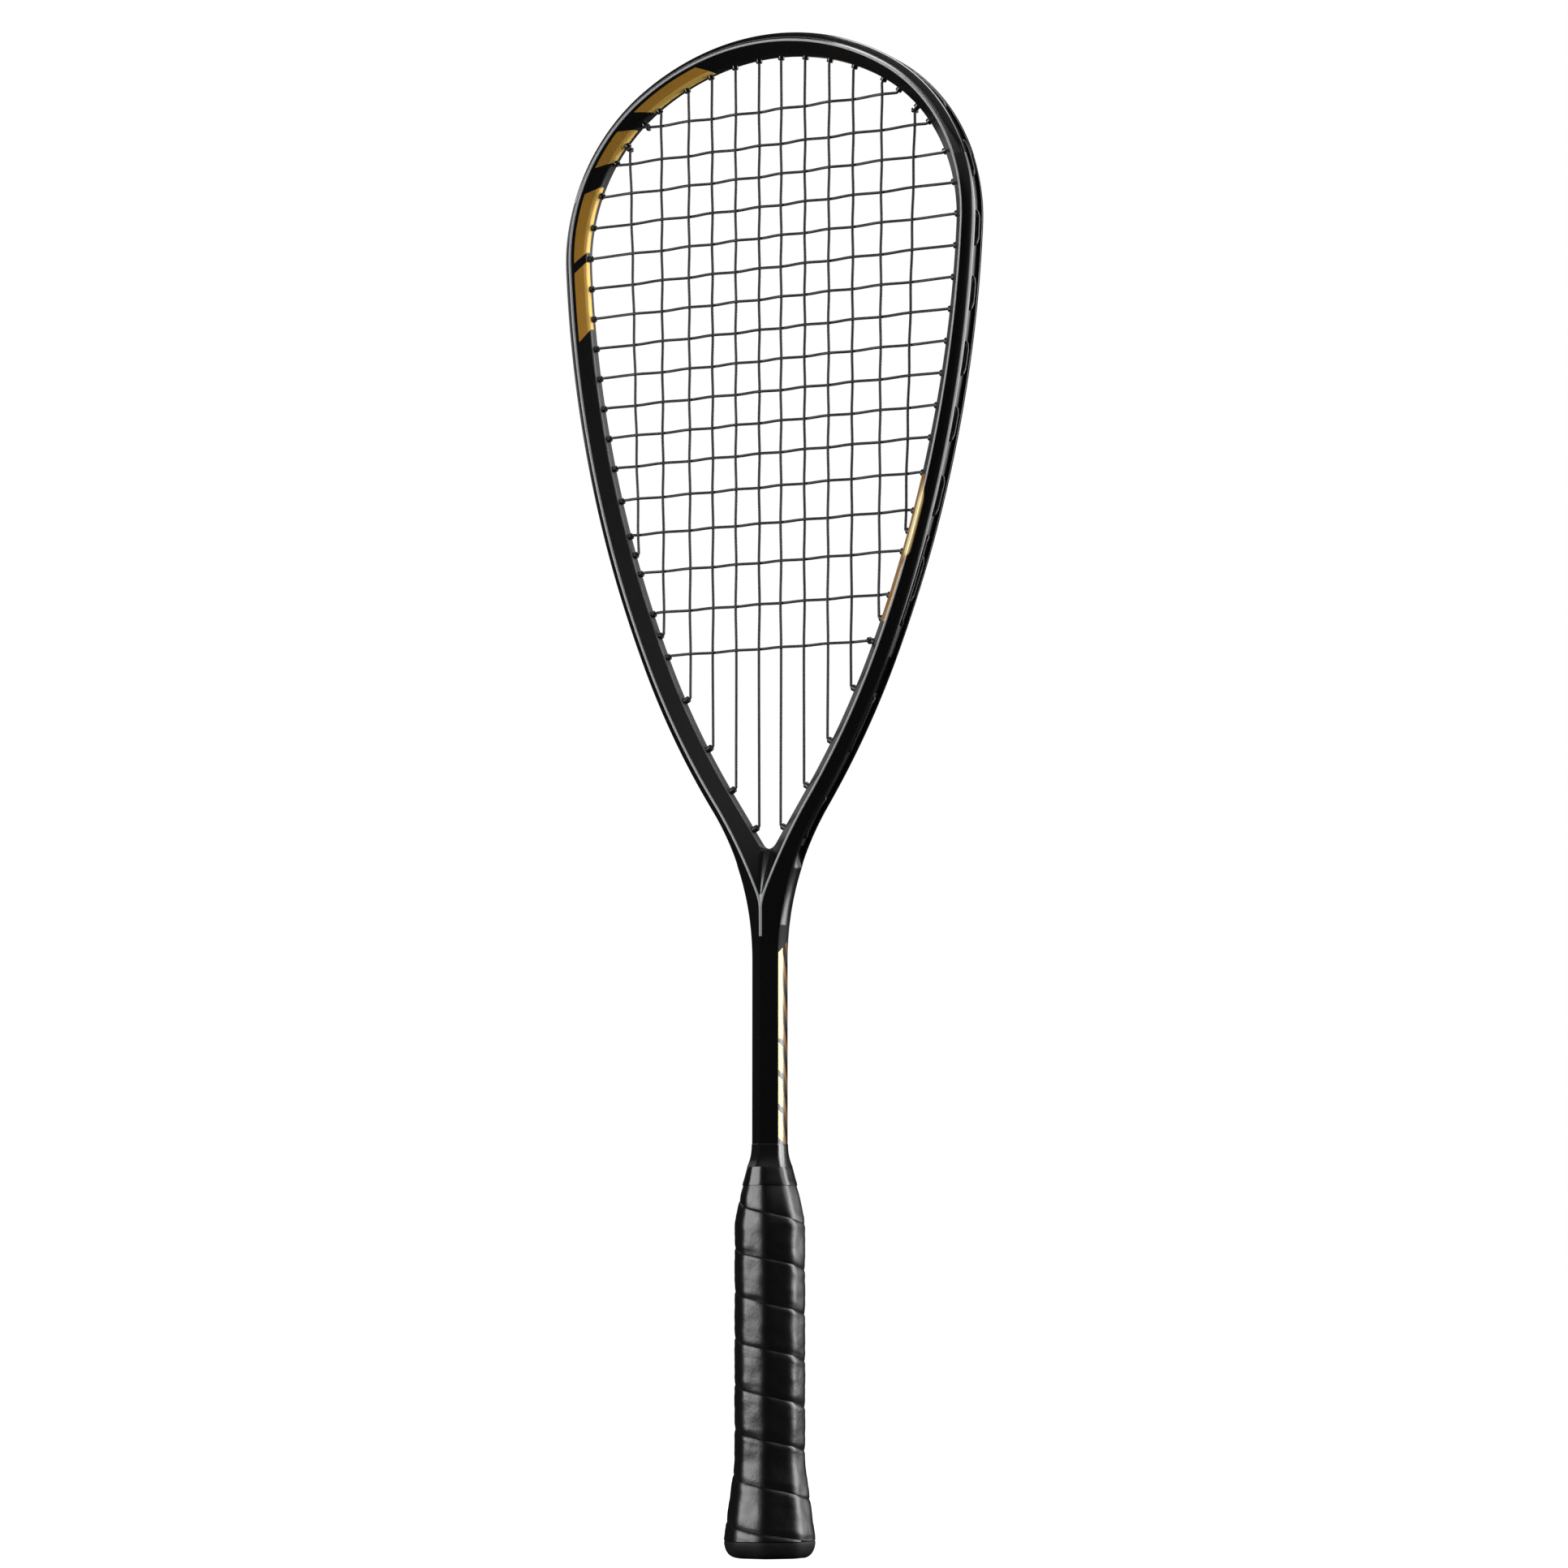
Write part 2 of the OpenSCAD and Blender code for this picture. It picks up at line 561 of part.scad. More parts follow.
module handle_core() {
    color("#26272a") difference() {
        oct_body([[cap_floor + fit, spigot.x, spigot.y], [cap_h + fit, spigot.x, spigot.y],
            level(cap_h + fit + 0.01, 0), level(flare_top_z, 0), each cone_part(cone_z, 0), [core_tip_z, tip.x, tip.y]]);
        translate([0, 0, shaft_end_z - fit]) linear_extrude(core_tip_z) shaft_bore(fit);
        staple_slots(fit);
    }
}

// Butt cap: a cup pressed on to the core, with a bare rim below the tape
rim = core + [flare + tape_t, flare + tape_t];
rim_steps = [[0, 4.2], [0.18, 2.2], [0.42, 1], [0.7, 0.3], [1, 0]];
module butt_cap() {
    color("#1b1c1e") difference() {
        oct_body(concat([for (q = rim_steps) [rim_h * q[0], rim.x - q[1], rim.y - q[1]]],
            [level(rim_h + 0.01, 0), level(cap_h, 0)]));
        oct_body([[cap_floor, spigot.x + fit, spigot.y + fit], [cap_h + 1, spigot.x + fit, spigot.y + fit]]);
        staple_slots(fit);
    }
}
module butt_cap_staples() {
    color("#b9bcc0") staple_slots(0);
}

// Grip tape: one strip wound up the core, cut off square at the rim and under the finishing tape
turn_rings = 24;
tape_lo = rim_h + fit + 0.05;
tape_hi = cone_top_z - fit;
tape_first = ceil(turn_rings * (1.5 + tape_gap) / tape_pitch);
tape_last = floor(turn_rings * (1 + (tape_hi - 1.5 - tape_lo) / tape_pitch));
function tape_point(a, z, grow) =
    let (q = under_tape(z)) oct_point(a, q.x + tape_fit + grow, q.y + tape_fit + grow, z);
function tape_ring(i) =
    let (a = -7.5 - 360 * i / turn_rings,
        edge = tape_lo + tape_pitch * (i / turn_rings - 1),
        lo = max(edge, tape_lo),
        hi = min(edge + tape_pitch - tape_gap, tape_hi),
        e = min(tape_edge, (hi - lo) * 0.3),
        f = e + (hi - lo) * 0.01,
        fold = min(hi - f, max(lo + f, lo < (flare_top_z + cone_z) / 2 ? flare_top_z : cone_z)))
    [tape_point(a, lo, 0), tape_point(a, lo, tape_t - tape_drop), tape_point(a, lo + e, tape_t),
        tape_point(a, fold, tape_t), tape_point(a, hi - e, tape_t), tape_point(a, hi, tape_t - tape_drop),
        tape_point(a, hi, 0), tape_point(a, fold, 0)];
tape_rings = [for (i = [tape_first : tape_last]) tape_ring(i)];
tape_least = min([for (i = [0 : len(tape_rings) - turn_rings - 2]) for (d = [-1 : 1]) for (p = [5, 6]) for (q = [0, 1])
    let (k = max(0, i + turn_rings + d)) norm(tape_rings[i][p] - tape_rings[k][q])]);
echo(str("grip tape: ", (tape_last - tape_first) / turn_rings, " turns, least gap to itself ", tape_least, " mm"));
module grip_tape() {
    color("#222326") skin(tape_rings, [[0, 1, 2, 3, 7], [3, 4, 5, 6, 7]]);
}

// Finishing tape: a smooth band over the tape's upper end
module finishing_tape() {
    lap = tape_t + 2 * tape_fit;
    color("#131416") difference() {
        oct_body(cone_part(band_z, lap + band_t));
        oct_body([level(band_z - 0.5, lap), each cone_part(band_z, lap),
            [cone_top_z + 0.5, cone_top.x + lap, cone_top.y + lap]]);
    }
}

frame();
bumper_guard();
left_grommet_strip();
right_grommet_strip();
left_throat_strip();
right_throat_strip();
main_string();
cross_string();
tie_off_knots();
handle_core();
butt_cap();
butt_cap_staples();
grip_tape();
finishing_tape();
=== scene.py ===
import math

import bmesh
import bpy
from mathutils import Matrix, Vector


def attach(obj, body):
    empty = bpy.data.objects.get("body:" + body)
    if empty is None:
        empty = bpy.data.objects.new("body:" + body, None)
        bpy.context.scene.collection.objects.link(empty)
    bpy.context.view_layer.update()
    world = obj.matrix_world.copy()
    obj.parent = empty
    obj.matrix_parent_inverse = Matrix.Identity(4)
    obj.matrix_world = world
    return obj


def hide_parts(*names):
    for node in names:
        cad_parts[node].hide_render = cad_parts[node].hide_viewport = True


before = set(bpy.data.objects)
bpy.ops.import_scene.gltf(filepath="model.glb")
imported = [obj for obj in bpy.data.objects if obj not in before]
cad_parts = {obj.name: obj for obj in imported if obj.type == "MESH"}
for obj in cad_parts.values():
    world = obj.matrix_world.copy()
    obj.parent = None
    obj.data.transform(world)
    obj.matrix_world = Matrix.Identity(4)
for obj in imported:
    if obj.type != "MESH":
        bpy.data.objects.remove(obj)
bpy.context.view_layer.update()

scene = bpy.context.scene
mm, onMiddle = 0.001, 1e-6
print("frame loaded with", len(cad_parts), "nodes")


# Shader maths: a wire wraps an output socket, and expressions on wires add their Math nodes
class Wire:
    def __init__(self, tree, socket):
        self.tree, self.socket = tree, socket

    @staticmethod
    def add(tree, kind, settings=None, inputs=None, output=0):
        node = tree.nodes.new("ShaderNode" + kind)
        for name, value in (settings or {}).items():
            setattr(node, name, value)
        for key, value in (inputs or {}).items():
            if isinstance(value, Wire):
                tree.links.new(value.socket, node.inputs[key])
            else:
                node.inputs[key].default_value = value
        return Wire(tree, node.outputs[output])

    def of(self, key):
        return Wire(self.tree, self.socket.node.outputs[key])

    def maths(self, operation, *others):
        values = [self, *others]
        return Wire.add(self.tree, "Math", {"operation": operation}, dict(enumerate(values)))

    def __add__(self, other):
        return self.maths("ADD", other)

    def __sub__(self, other):
        return self.maths("SUBTRACT", other)

    def __rsub__(self, other):
        return self.maths("MULTIPLY_ADD", -1, other)

    def __mul__(self, other):
        return self.maths("MULTIPLY", other)

    def __mod__(self, other):
        return self.maths("FLOORED_MODULO", other)

    def __abs__(self):
        return self.maths("ABSOLUTE")

    __radd__, __rmul__ = __add__, __mul__

    def above(self, edge, soft):  # 0 below the edge, 1 above it, with a soft step
        return Wire.add(self.tree, "MapRange", {"interpolation_type": "SMOOTHSTEP"},
                        {"Value": self, "From Min": edge - soft, "From Max": edge + soft})

    def below(self, edge, soft):
        return 1 - self.above(edge, soft)

    def between(self, low, high, soft):
        return self.above(low, soft) * self.below(high, soft)

    def capped(self, most=1.0):
        return self.maths("MINIMUM", most)


def startMaterial(name, values):
    material = bpy.data.materials.new(name)
    material.use_nodes = True
    tree = material.node_tree
    shader = tree.nodes["Principled BSDF"]
    for key, value in values.items():
        shader.inputs[key].default_value = value
    return material, tree, shader


def feed(shader, wires):
    for key, wire in wires.items():
        wire.tree.links.new(wire.socket, shader.inputs[key])


def mixColour(factor, first, second):
    return Wire.add(factor.tree, "Mix", {"data_type": "RGBA"}, {0: factor, 6: first, 7: second}, 2)


def objectPlace(tree):
    return Wire.add(tree, "TexCoord", output="Object")


def meshLayer(tree, name, output):
    return Wire.add(tree, "Attribute", {"attribute_name": name}, output=output)


def parts(place):
    wire = Wire.add(place.tree, "SeparateXYZ", None, {0: place})
    return [wire.of(axis) for axis in "XYZ"]


def stretched(place, scale):
    return Wire.add(place.tree, "Mapping", None, {"Vector": place, "Scale": scale})


def noise(place, scale, detail=3.0, rough=0.55):
    return Wire.add(place.tree, "TexNoise", None,
                    {"Vector": place, "Scale": scale, "Detail": detail, "Roughness": rough})


def bump(height, strength, distance):
    return Wire.add(height.tree, "Bump", None,
                    {"Height": height, "Strength": strength, "Distance": distance})


def shades(tone, ratio):  # a dark tone and a lighter one of the same hue
    return (*tone, 1), (*[ratio * c for c in tone], 1)


# The outer wall of the racket: tangent arcs from the top centre down to the end of the shaft, in millimetres
outline = {
    "length": 685.0, "topR": 119.6, "topAngle": 32.9, "shoulderR": 89.0, "shoulderAngle": 60.1,
    "sideR": 572.0, "sideAngle": 19.6, "legR": 383.0, "lean": 33.3, "legStraight": 4.0,
    "shaftW": 13.1, "shaftEnd": 15.0,
}


def outward(heading):
    return Vector((math.sin(math.radians(heading)), math.cos(math.radians(heading))))


def travel(heading):
    return Vector((math.cos(math.radians(heading)), -math.sin(math.radians(heading))))


def layStretches(o):
    point, heading, rows = Vector((0.0, o["length"])), 0.0, []
    legAngle = 90 + o["lean"] - o["topAngle"] - o["shoulderAngle"] - o["sideAngle"]
    for radius, angle in ((o["topR"], o["topAngle"]), (o["shoulderR"], o["shoulderAngle"]),
                          (o["sideR"], o["sideAngle"]), (o["legR"], legAngle)):
        rows.append((point, heading, radius, 1, math.radians(angle) * radius))
        point = point - radius * outward(heading) + radius * outward(heading + angle)
        heading += angle
    rows.append((point, heading, 0.0, 0, o["legStraight"]))
    point = point + o["legStraight"] * travel(heading)
    throatR = (point.x - o["shaftW"] / 2) / (1 - math.cos(math.radians(o["lean"])))
    rows.append((point, heading, throatR, -1, math.radians(o["lean"]) * throatR))
    point = point + throatR * outward(heading) - throatR * outward(heading - o["lean"])
    rows.append((point, 90.0, 0.0, 0, point.y - o["shaftEnd"]))
    return rows


stretches = layStretches(outline)
starts = [sum(row[4] for row in stretches[:i]) for i in range(len(stretches) + 1)]
sideStart, legStart = starts[2:4]
throatStart, shaftStart, shaftStop = starts[5:]
throatPoint, throatHeading = stretches[5][:2]


def wall(s):  # the point and the heading at a length s from the top centre
    i = max(k for k in range(len(stretches)) if k == 0 or starts[k] <= s)
    point, heading, radius, turn, _ = stretches[i]
    e = s - starts[i]
    if radius == 0:
        return point + e * travel(heading), heading
    turned = heading + turn * math.degrees(e / radius)
    return point - turn * radius * outward(heading) + turn * radius * outward(turned), turned


def at(side, s, u, y):  # a point u inside the wall and y behind the middle plane
    point, heading = wall(s)
    p = point - u * outward(heading)
    return Vector((0.0 if abs(p.x) < onMiddle else side * p.x, y, p.y))


def clamp(t):
    return min(1.0, max(0.0, t))


def lay(side, s, loop):
    return [at(side, s, p.x, p.y) for p in loop]


def ease(t):
    c = clamp(t)
    return c * c * (3 - 2 * c)


def lerp(a, b, t):
    return a + (b - a) * t


def spread(a, b, n):  # n even steps from a to b
    return [lerp(a, b, i / n) for i in range(n + 1)]


# Section of the hollow moulding, and the groove and seat cut in its outer wall
section = {
    "hoopW": 10.0, "legW": 10.7, "halfDepth": 9.2, "ridgeIn": 4.5, "halfOuter": 4.7, "halfInner": 2.3,
    "ridgeStraight": 0.46, "meetSoft": 2.0, "meetGap": 0.02, "crown": 0.65,
    "grooveDepth": 2.4, "halfGroove": 2.8, "draft": 0.35, "grooveRun": 7.0,
    "bumperReach": 129.5, "bumperSeat": 1.2, "seatStep": 0.05, "seatFree": 1.0, "holeFree": 2.0,
    "crotchRound": 5.0, "valleyRound": 9.0, "grooveRound": 0.3, "lipRound": 0.3, "innerRound": 2.6,
    "shoulderRound": 4.5, "shaftRound": 1.6, "shoulderShare": 0.75, "ridgeRound": 0.6, "ridgeFade": 25.0,
    "bow": 0.5, "bowStart": 25.0, "bowEnd": 60.0,
    "edgeSteps": 3, "ridgeSteps": 7, "innerSteps": 9, "shoulderSteps": 9, "flankSteps": 8,
    "coarse": 2.2, "fine": 0.7, "fineBefore": 14.0, "shaftSteps": 30, "sharp": 42, "merge": 2e-6,
}


def straightOn(s, u):  # the inner wall runs on straight past the start of the throat
    if s <= throatStart:
        return u
    point, heading = wall(s)
    m = outward(throatHeading)
    return (point - (throatPoint - u * m)).dot(m) / outward(heading).dot(m)


def widthAt(s):
    share = ease((s - sideStart) / (legStart - sideStart))
    return straightOn(s, lerp(section["hoopW"], section["legW"], share))


# The ridge bends between the outer wall and the straight run, and eases into the middle plane
def ridgeAt(s):
    u = lerp(section["ridgeIn"], straightOn(s, section["ridgeIn"]), section["ridgeStraight"])
    point, heading = wall(s)
    n, soft = outward(heading), section["meetSoft"]
    x = point.x - u * n.x
    if s < throatStart or x > soft:
        return u
    return (point.x - max(0.0, x + soft) ** 2 / (4 * soft)) / n.x


# Strings: the holes are found from the places where the strings bend, as in the solid model
strings = {
    "radius": 0.63, "mainsHalf": 6, "middle": 11.4, "pitch": 12.4, "evenMains": 3, "open": 2.1, "taper": 0.96,
    "crosses": 17, "crossPitch": 14.2, "firstCross": 0.43, "topOpen": 1.8, "evenGaps": 11, "crossOpen": 1.2,
    "nub": 1.6, "throatNub": 2.6, "bendFree": 0.7, "bendRound": 0.9, "clear": 0.02, "mainShare": 0.25,
    "lane": 1.4, "runDepth": 0.75, "runLeave": 3.0, "runStep": 4.0, "straightFrom": 172, "leastStep": 0.02,
    "sides": 10, "sharp": 60,
}


def nubAt(s):
    return strings["throatNub"] if s > legStart else strings["nub"]


def bendAt(side, s):
    return at(side, s, widthAt(s) + nubAt(s) + strings["bendFree"], 0.0)


def solve(value, goal, low, high, halvings=40):
    for _ in range(halvings):
        middle = (low + high) / 2
        if (value(middle) - goal) * (value(low) - goal) > 0:
            low = middle
        else:
            high = middle
    return (low + high) / 2


def opened(count, even, step):  # past the even gaps, each gap is one step wider than the last
    more = max(0, count - even)
    return step * more * (more + 1) / 2


def mainX(k):
    extra = opened(k, strings["evenMains"], strings["open"])
    return strings["middle"] / 2 + k * strings["pitch"] + extra


def crossDrop(j):
    extra = opened(j, strings["evenGaps"], strings["crossOpen"])
    return j * strings["crossPitch"] + (strings["topOpen"] if j else 0) + extra


mainsHalf = strings["mainsHalf"]
topHole = [solve(lambda s: bendAt(1, s).x, mainX(k), 0, sideStart) for k in range(mainsHalf)]
firstCrossZ = bendAt(1, lerp(topHole[-2], topHole[-1], strings["firstCross"])).z
crossZ = [firstCrossZ - crossDrop(j) for j in range(strings["crosses"])]
crossHole = [solve(lambda s: bendAt(1, s).z, z, 0, throatStart) for z in crossZ]
bottomHole = [solve(lambda s: bendAt(1, s).x, strings["taper"] * mainX(k), sideStart, shaftStart)
              for k in range(mainsHalf - 2)]
bottomHole += [(crossHole[-1] + crossHole[-2]) / 2, (crossHole[-3] + crossHole[-4]) / 2]
holes = topHole + bottomHole + crossHole
grooveEnd = bottomHole[0] + section["grooveRun"]
bumperHoles = sorted(s for s in holes if s < section["bumperReach"] - section["holeFree"])
stripHoles = sorted(s for s in holes if section["bumperReach"] < s <= max(crossHole))
throatHoles = sorted(s for s in bottomHole if s > max(crossHole))
print("holes:", len(bumperHoles), "in the bumper,", len(stripHoles), "at the side,",
      len(throatHoles), "in the throat")


def shaftShare(s):  # 0 where the groove is whole, 1 where it has run out
    return ease((s - grooveEnd) / section["grooveRun"])


def crownAt(s, y):
    return -section["crown"] * shaftShare(s) * (1 - (y / section["halfOuter"]) ** 2)


# Mesh helpers: rounded profiles, skins through rings, and finished pieces
shortLeg, flatHalf = 1e-5, math.radians(89)


def roundCorner(before, corner, after, radius, count, share=0.47):  # share: the most of a leg it may take
    p, q = before - corner, after - corner
    half = p.angle(q, math.pi) / 2
    if radius <= 0 or min(p.length, q.length) < shortLeg or half > flatHalf:
        return [corner.copy() for _ in range(count)]
    reach = min(radius / math.tan(half), share * min(p.length, q.length))
    radius = reach * math.tan(half)
    centre = corner + (p.normalized() + q.normalized()).normalized() * (radius / math.sin(half))
    first = corner + p.normalized() * reach - centre
    last = corner + q.normalized() * reach - centre
    angle = first.angle(last)
    return [centre + (math.sin((1 - k) * angle) * first + math.sin(k * angle) * last) / math.sin(angle)
            for k in (i / (count - 1) for i in range(count))]


def mirrorLoop(half):  # a closed profile from the corners of its back half: u, y, radius and points
    corners = [(u, -y, radius, count) for u, y, radius, count in half] + half[::-1]
    flat = [Vector(c[:2]) for c in corners]
    points = []
    for i, (_, _, radius, count) in enumerate(corners):
        points += roundCorner(flat[i - 1], flat[i], flat[(i + 1) % len(flat)], radius, count)
    return points


def skinRings(bm, rings):
    rows = [[bm.verts.new(p * mm) for p in ring] for ring in rings]
    n = len(rows[0])
    for a, b in zip(rows, rows[1:]):
        for j in range(n):
            k = (j + 1) % n
            bm.faces.new((a[j], b[j], b[k], a[k]))
    return rows


def solidRings(bm, rings):  # a skin with both ends closed
    rows = skinRings(bm, rings)
    bm.faces.new(rows[0])
    bm.faces.new(rows[-1][::-1])


def meshFrom(bm, name):
    mesh = bpy.data.meshes.new(name)
    bm.to_mesh(mesh)
    bm.free()
    return mesh


def shadeSoft(mesh, sharp):
    mesh.shade_smooth()
    mesh.set_sharp_from_angle(angle=math.radians(sharp))


def tidyMesh(bm, name, sharp, merge=1e-6):
    bmesh.ops.remove_doubles(bm, verts=bm.verts, dist=merge)
    bmesh.ops.dissolve_degenerate(bm, edges=bm.edges, dist=merge)
    bmesh.ops.recalc_face_normals(bm, faces=bm.faces)
    mesh = meshFrom(bm, name)
    shadeSoft(mesh, sharp)
    return mesh


def putObject(name, data):
    obj = bpy.data.objects.new(name, data)
    scene.collection.objects.link(obj)
    return obj


def plainMesh(obj):  # the evaluated result takes the place of the mesh and its modifiers
    graph = bpy.context.evaluated_depsgraph_get()
    graph.update()
    mesh = bpy.data.meshes.new_from_object(obj.evaluated_get(graph), depsgraph=graph)
    obj.modifiers.clear()
    obj.data = mesh
    mesh.name = obj.name
    return obj


def weightNormals(obj):  # flats stay flat beside their rounded edges
    modifier = obj.modifiers.new("flats", "WEIGHTED_NORMAL")
    modifier.keep_sharp = True
    return plainMesh(obj)


def finishPiece(obj, node, material):
    obj.data.materials.clear()
    obj.data.materials.append(material)
    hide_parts(node)
    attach(obj, "root")
    print("piece", obj.name, "with", len(obj.data.polygons), "faces")
    return obj


# Frame: one rounded section swept down each half of the outline, joined on the middle plane
def crotchCircle():
    m, d = outward(throatHeading), travel(throatHeading)
    radius = section["crotchRound"]
    start = throatPoint - section["legW"] * m
    t = (radius * m.x - start.x) / d.x
    touch = start + t * d
    return touch - radius * m, radius, touch


crotchMiddle, crotchRadius, crotchTouch = crotchCircle()


# Where the section ends inwards: at the inner wall, in the crotch, or on the middle plane
def innerReach(s):
    point, heading = wall(s)
    n = outward(heading)
    width = widthAt(s)
    if s < legStart:
        return width, math.inf
    middle = point.x / n.x
    if (point - width * n).x > crotchTouch.x:
        return width, middle
    gap = point - crotchMiddle
    b = gap.dot(n)
    inside = b * b - gap.length_squared + crotchRadius ** 2
    if inside > 0:
        hit = b - math.sqrt(inside)
        if 0 < hit < middle:
            return hit, middle
    return middle, middle


def bowFlank(flank, shoulder, ridge, s):  # beside the strings the outer flanks are slightly bowed
    c = section
    bow = c["bow"] * ease((s - c["bumperReach"]) / c["bowStart"]) * ease((legStart - s) / c["bowEnd"])
    run = ridge - shoulder
    out = Vector((-run.y, run.x)).normalized()
    for point in flank:
        t = (point - shoulder).dot(run) / run.length_squared
        if 0 < t < 1:
            point += 4 * bow * t * (1 - t) * out


def frameProfile(s):  # the back half of the section, from the groove round to the inner wall
    c = section
    lip = c["halfGroove"] + c["draft"]
    seat = c["bumperSeat"] if s <= c["bumperReach"] + c["seatStep"] else 0.0
    ridge, width = ridgeAt(s), widthAt(s)
    inner, middle = innerReach(s)
    floorU = max(c["grooveDepth"] * (1 - shaftShare(s)), seat)
    corners = [Vector((floorU + crownAt(s, c["halfGroove"]), c["halfGroove"])),
               Vector((seat + crownAt(s, lip), lip)),
               Vector((seat, c["halfOuter"]))]
    if ridge >= middle - c["meetGap"]:  # on the shaft both ridges are one
        top = Vector((middle, c["halfDepth"]))
        arc = [top.copy() for _ in range(c["ridgeSteps"])]
        tail = [top.copy() for _ in range(c["innerSteps"])] + [Vector((middle, 0.0))]
    else:
        innerY = lerp(c["halfDepth"], c["halfInner"], (inner - ridge) / (width - ridge))
        top, foot, end = Vector((ridge, c["halfDepth"])), Vector((inner, innerY)), Vector((inner, 0.0))
        ridgeSoft = c["ridgeRound"] * ease((closedStart - s) / c["ridgeFade"])
        arc = roundCorner(corners[2], top, foot, ridgeSoft, c["ridgeSteps"])
        if inner >= middle:  # the two legs meet in a hollow
            mirrored = Vector((2 * middle - ridge, c["halfDepth"]))
            valley = roundCorner(top, foot, mirrored, c["valleyRound"], 2 * c["innerSteps"] - 1)
            tail = valley[:c["innerSteps"]]
            tail[-1].x = middle
        else:
            tail = roundCorner(top, foot, end, c["innerRound"], c["innerSteps"])
        tail.append(end)
    third = c["halfGroove"] / 3
    points = [Vector((floorU + crownAt(s, y), y)) for y in (0.0, third, 2 * third)]
    points += roundCorner(points[-1], corners[0], corners[1], c["grooveRound"], c["edgeSteps"])
    points += roundCorner(corners[0], corners[1], corners[2], c["lipRound"], c["edgeSteps"])
    sideRound = lerp(c["shoulderRound"], c["shaftRound"], shaftShare(s))
    shoulder = roundCorner(corners[1], corners[2], top, sideRound, c["shoulderSteps"], c["shoulderShare"])
    flat = [shoulder[-1].lerp(arc[0], k / c["flankSteps"]) for k in range(1, c["flankSteps"])]
    flank = shoulder + flat + arc
    bowFlank(flank, corners[2], top, s)
    return points + flank + tail


def closedFrom(step=0.1):  # the length at which the two ridges have met
    s = throatStart
    while True:
        point, heading = wall(s)
        if ridgeAt(s) >= point.x / outward(heading).x - section["meetGap"]:
            return s
        s += step


closedStart = closedFrom()


def frameStations():
    c, reach = section, section["bumperReach"]
    rows = [0.0]
    while rows[-1] < shaftStart:
        rows.append(rows[-1] + (c["coarse"] if rows[-1] < throatStart - c["fineBefore"] else c["fine"]))
    rows = [s for s in rows if abs(s - reach) > c["seatFree"] and s < shaftStart]
    rows += [reach + c["seatStep"], reach + 4 * c["seatStep"]]
    return sorted(rows + spread(shaftStart, shaftStop, c["shaftSteps"]))


def makeFrame():
    bm = bmesh.new()
    place = bm.verts.layers.float_vector.new("place")
    stations = frameStations()
    loops = []
    for s in stations:
        back = frameProfile(s)
        loops.append(back + [Vector((p.x, -p.y)) for p in back[-2:0:-1]])
    for side in (1, -1):
        rows = skinRings(bm, [lay(side, s, loop) for s, loop in zip(stations, loops)])
        for s, loop, row in zip(stations, loops, rows):
            ridge = min(ridgeAt(s), innerReach(s)[1])
            for p, vert in zip(loop, row):
                vert[place] = (s, p.x - ridge, p.y)
        bm.faces.new(rows[-1])
    middle = [f for f in bm.faces if all(abs(v.co.x) < onMiddle * mm for v in f.verts)]
    bmesh.ops.delete(bm, geom=middle, context="FACES")
    obj = putObject("frameMoulding", tidyMesh(bm, "frameMoulding", section["sharp"], section["merge"]))
    return weightNormals(obj)


# Lacquer: black over the moulding, a silver line on the ridges, gold blocks, blades and strokes
lacquer = {
    "black": (0.0042, 0.0042, 0.0046, 1), "silver": (0.34, 0.345, 0.355, 1), "gold": (0.50, 0.235, 0.025, 1),
    "highlightGold": (0.85, 0.56, 0.13, 1), "shadedGold": (0.20, 0.09, 0.012, 1),
    "highlightCream": (1.0, 0.86, 0.46, 1), "shadedBrown": (0.30, 0.13, 0.02, 1),
    "rough": 0.18, "metal": 0.3, "bladeLess": 0.2,
    # on the hoop and the legs, along the wall from the top centre
    "blocks": ((40, 79), (92, 113), (127, 162), (167, 200)), "slant": 1.6, "innerEdge": 1.5, "wallEdge": 4.4,
    "blade": (277, 345), "bladeWide": (284, 314), "bladeRise": 1.5, "bladeFree": 2.4,
    "bladeHighlight": (-0.9, 2.8), "tailHighlight": (0.1, 1.5), "tailGap": 5.0,
    # on the shaft and at its join with the legs, by height
    "shaftBlock": (180, 269.5), "blockTilt": 0.8, "blockHalf": 4.2, "blockBefore": 10.0, "rearFrom": -1.3,
    "strokePitch": 15.0, "longStroke": (1.5, 8.0), "longSlant": 2.4,
    "thinStroke": 3.0, "thinSlant": 0.65, "thinShift": 1.6, "thinBelow": 228,
    "dullZone": (262, 278.5), "dullHalf": 4.7,
    "lineEnd": 273.3, "lineHalf": 0.55, "lineAway": 6.0, "joinTop": 292.0, "joinHalf": 0.7, "joinAway": 8.0,
}


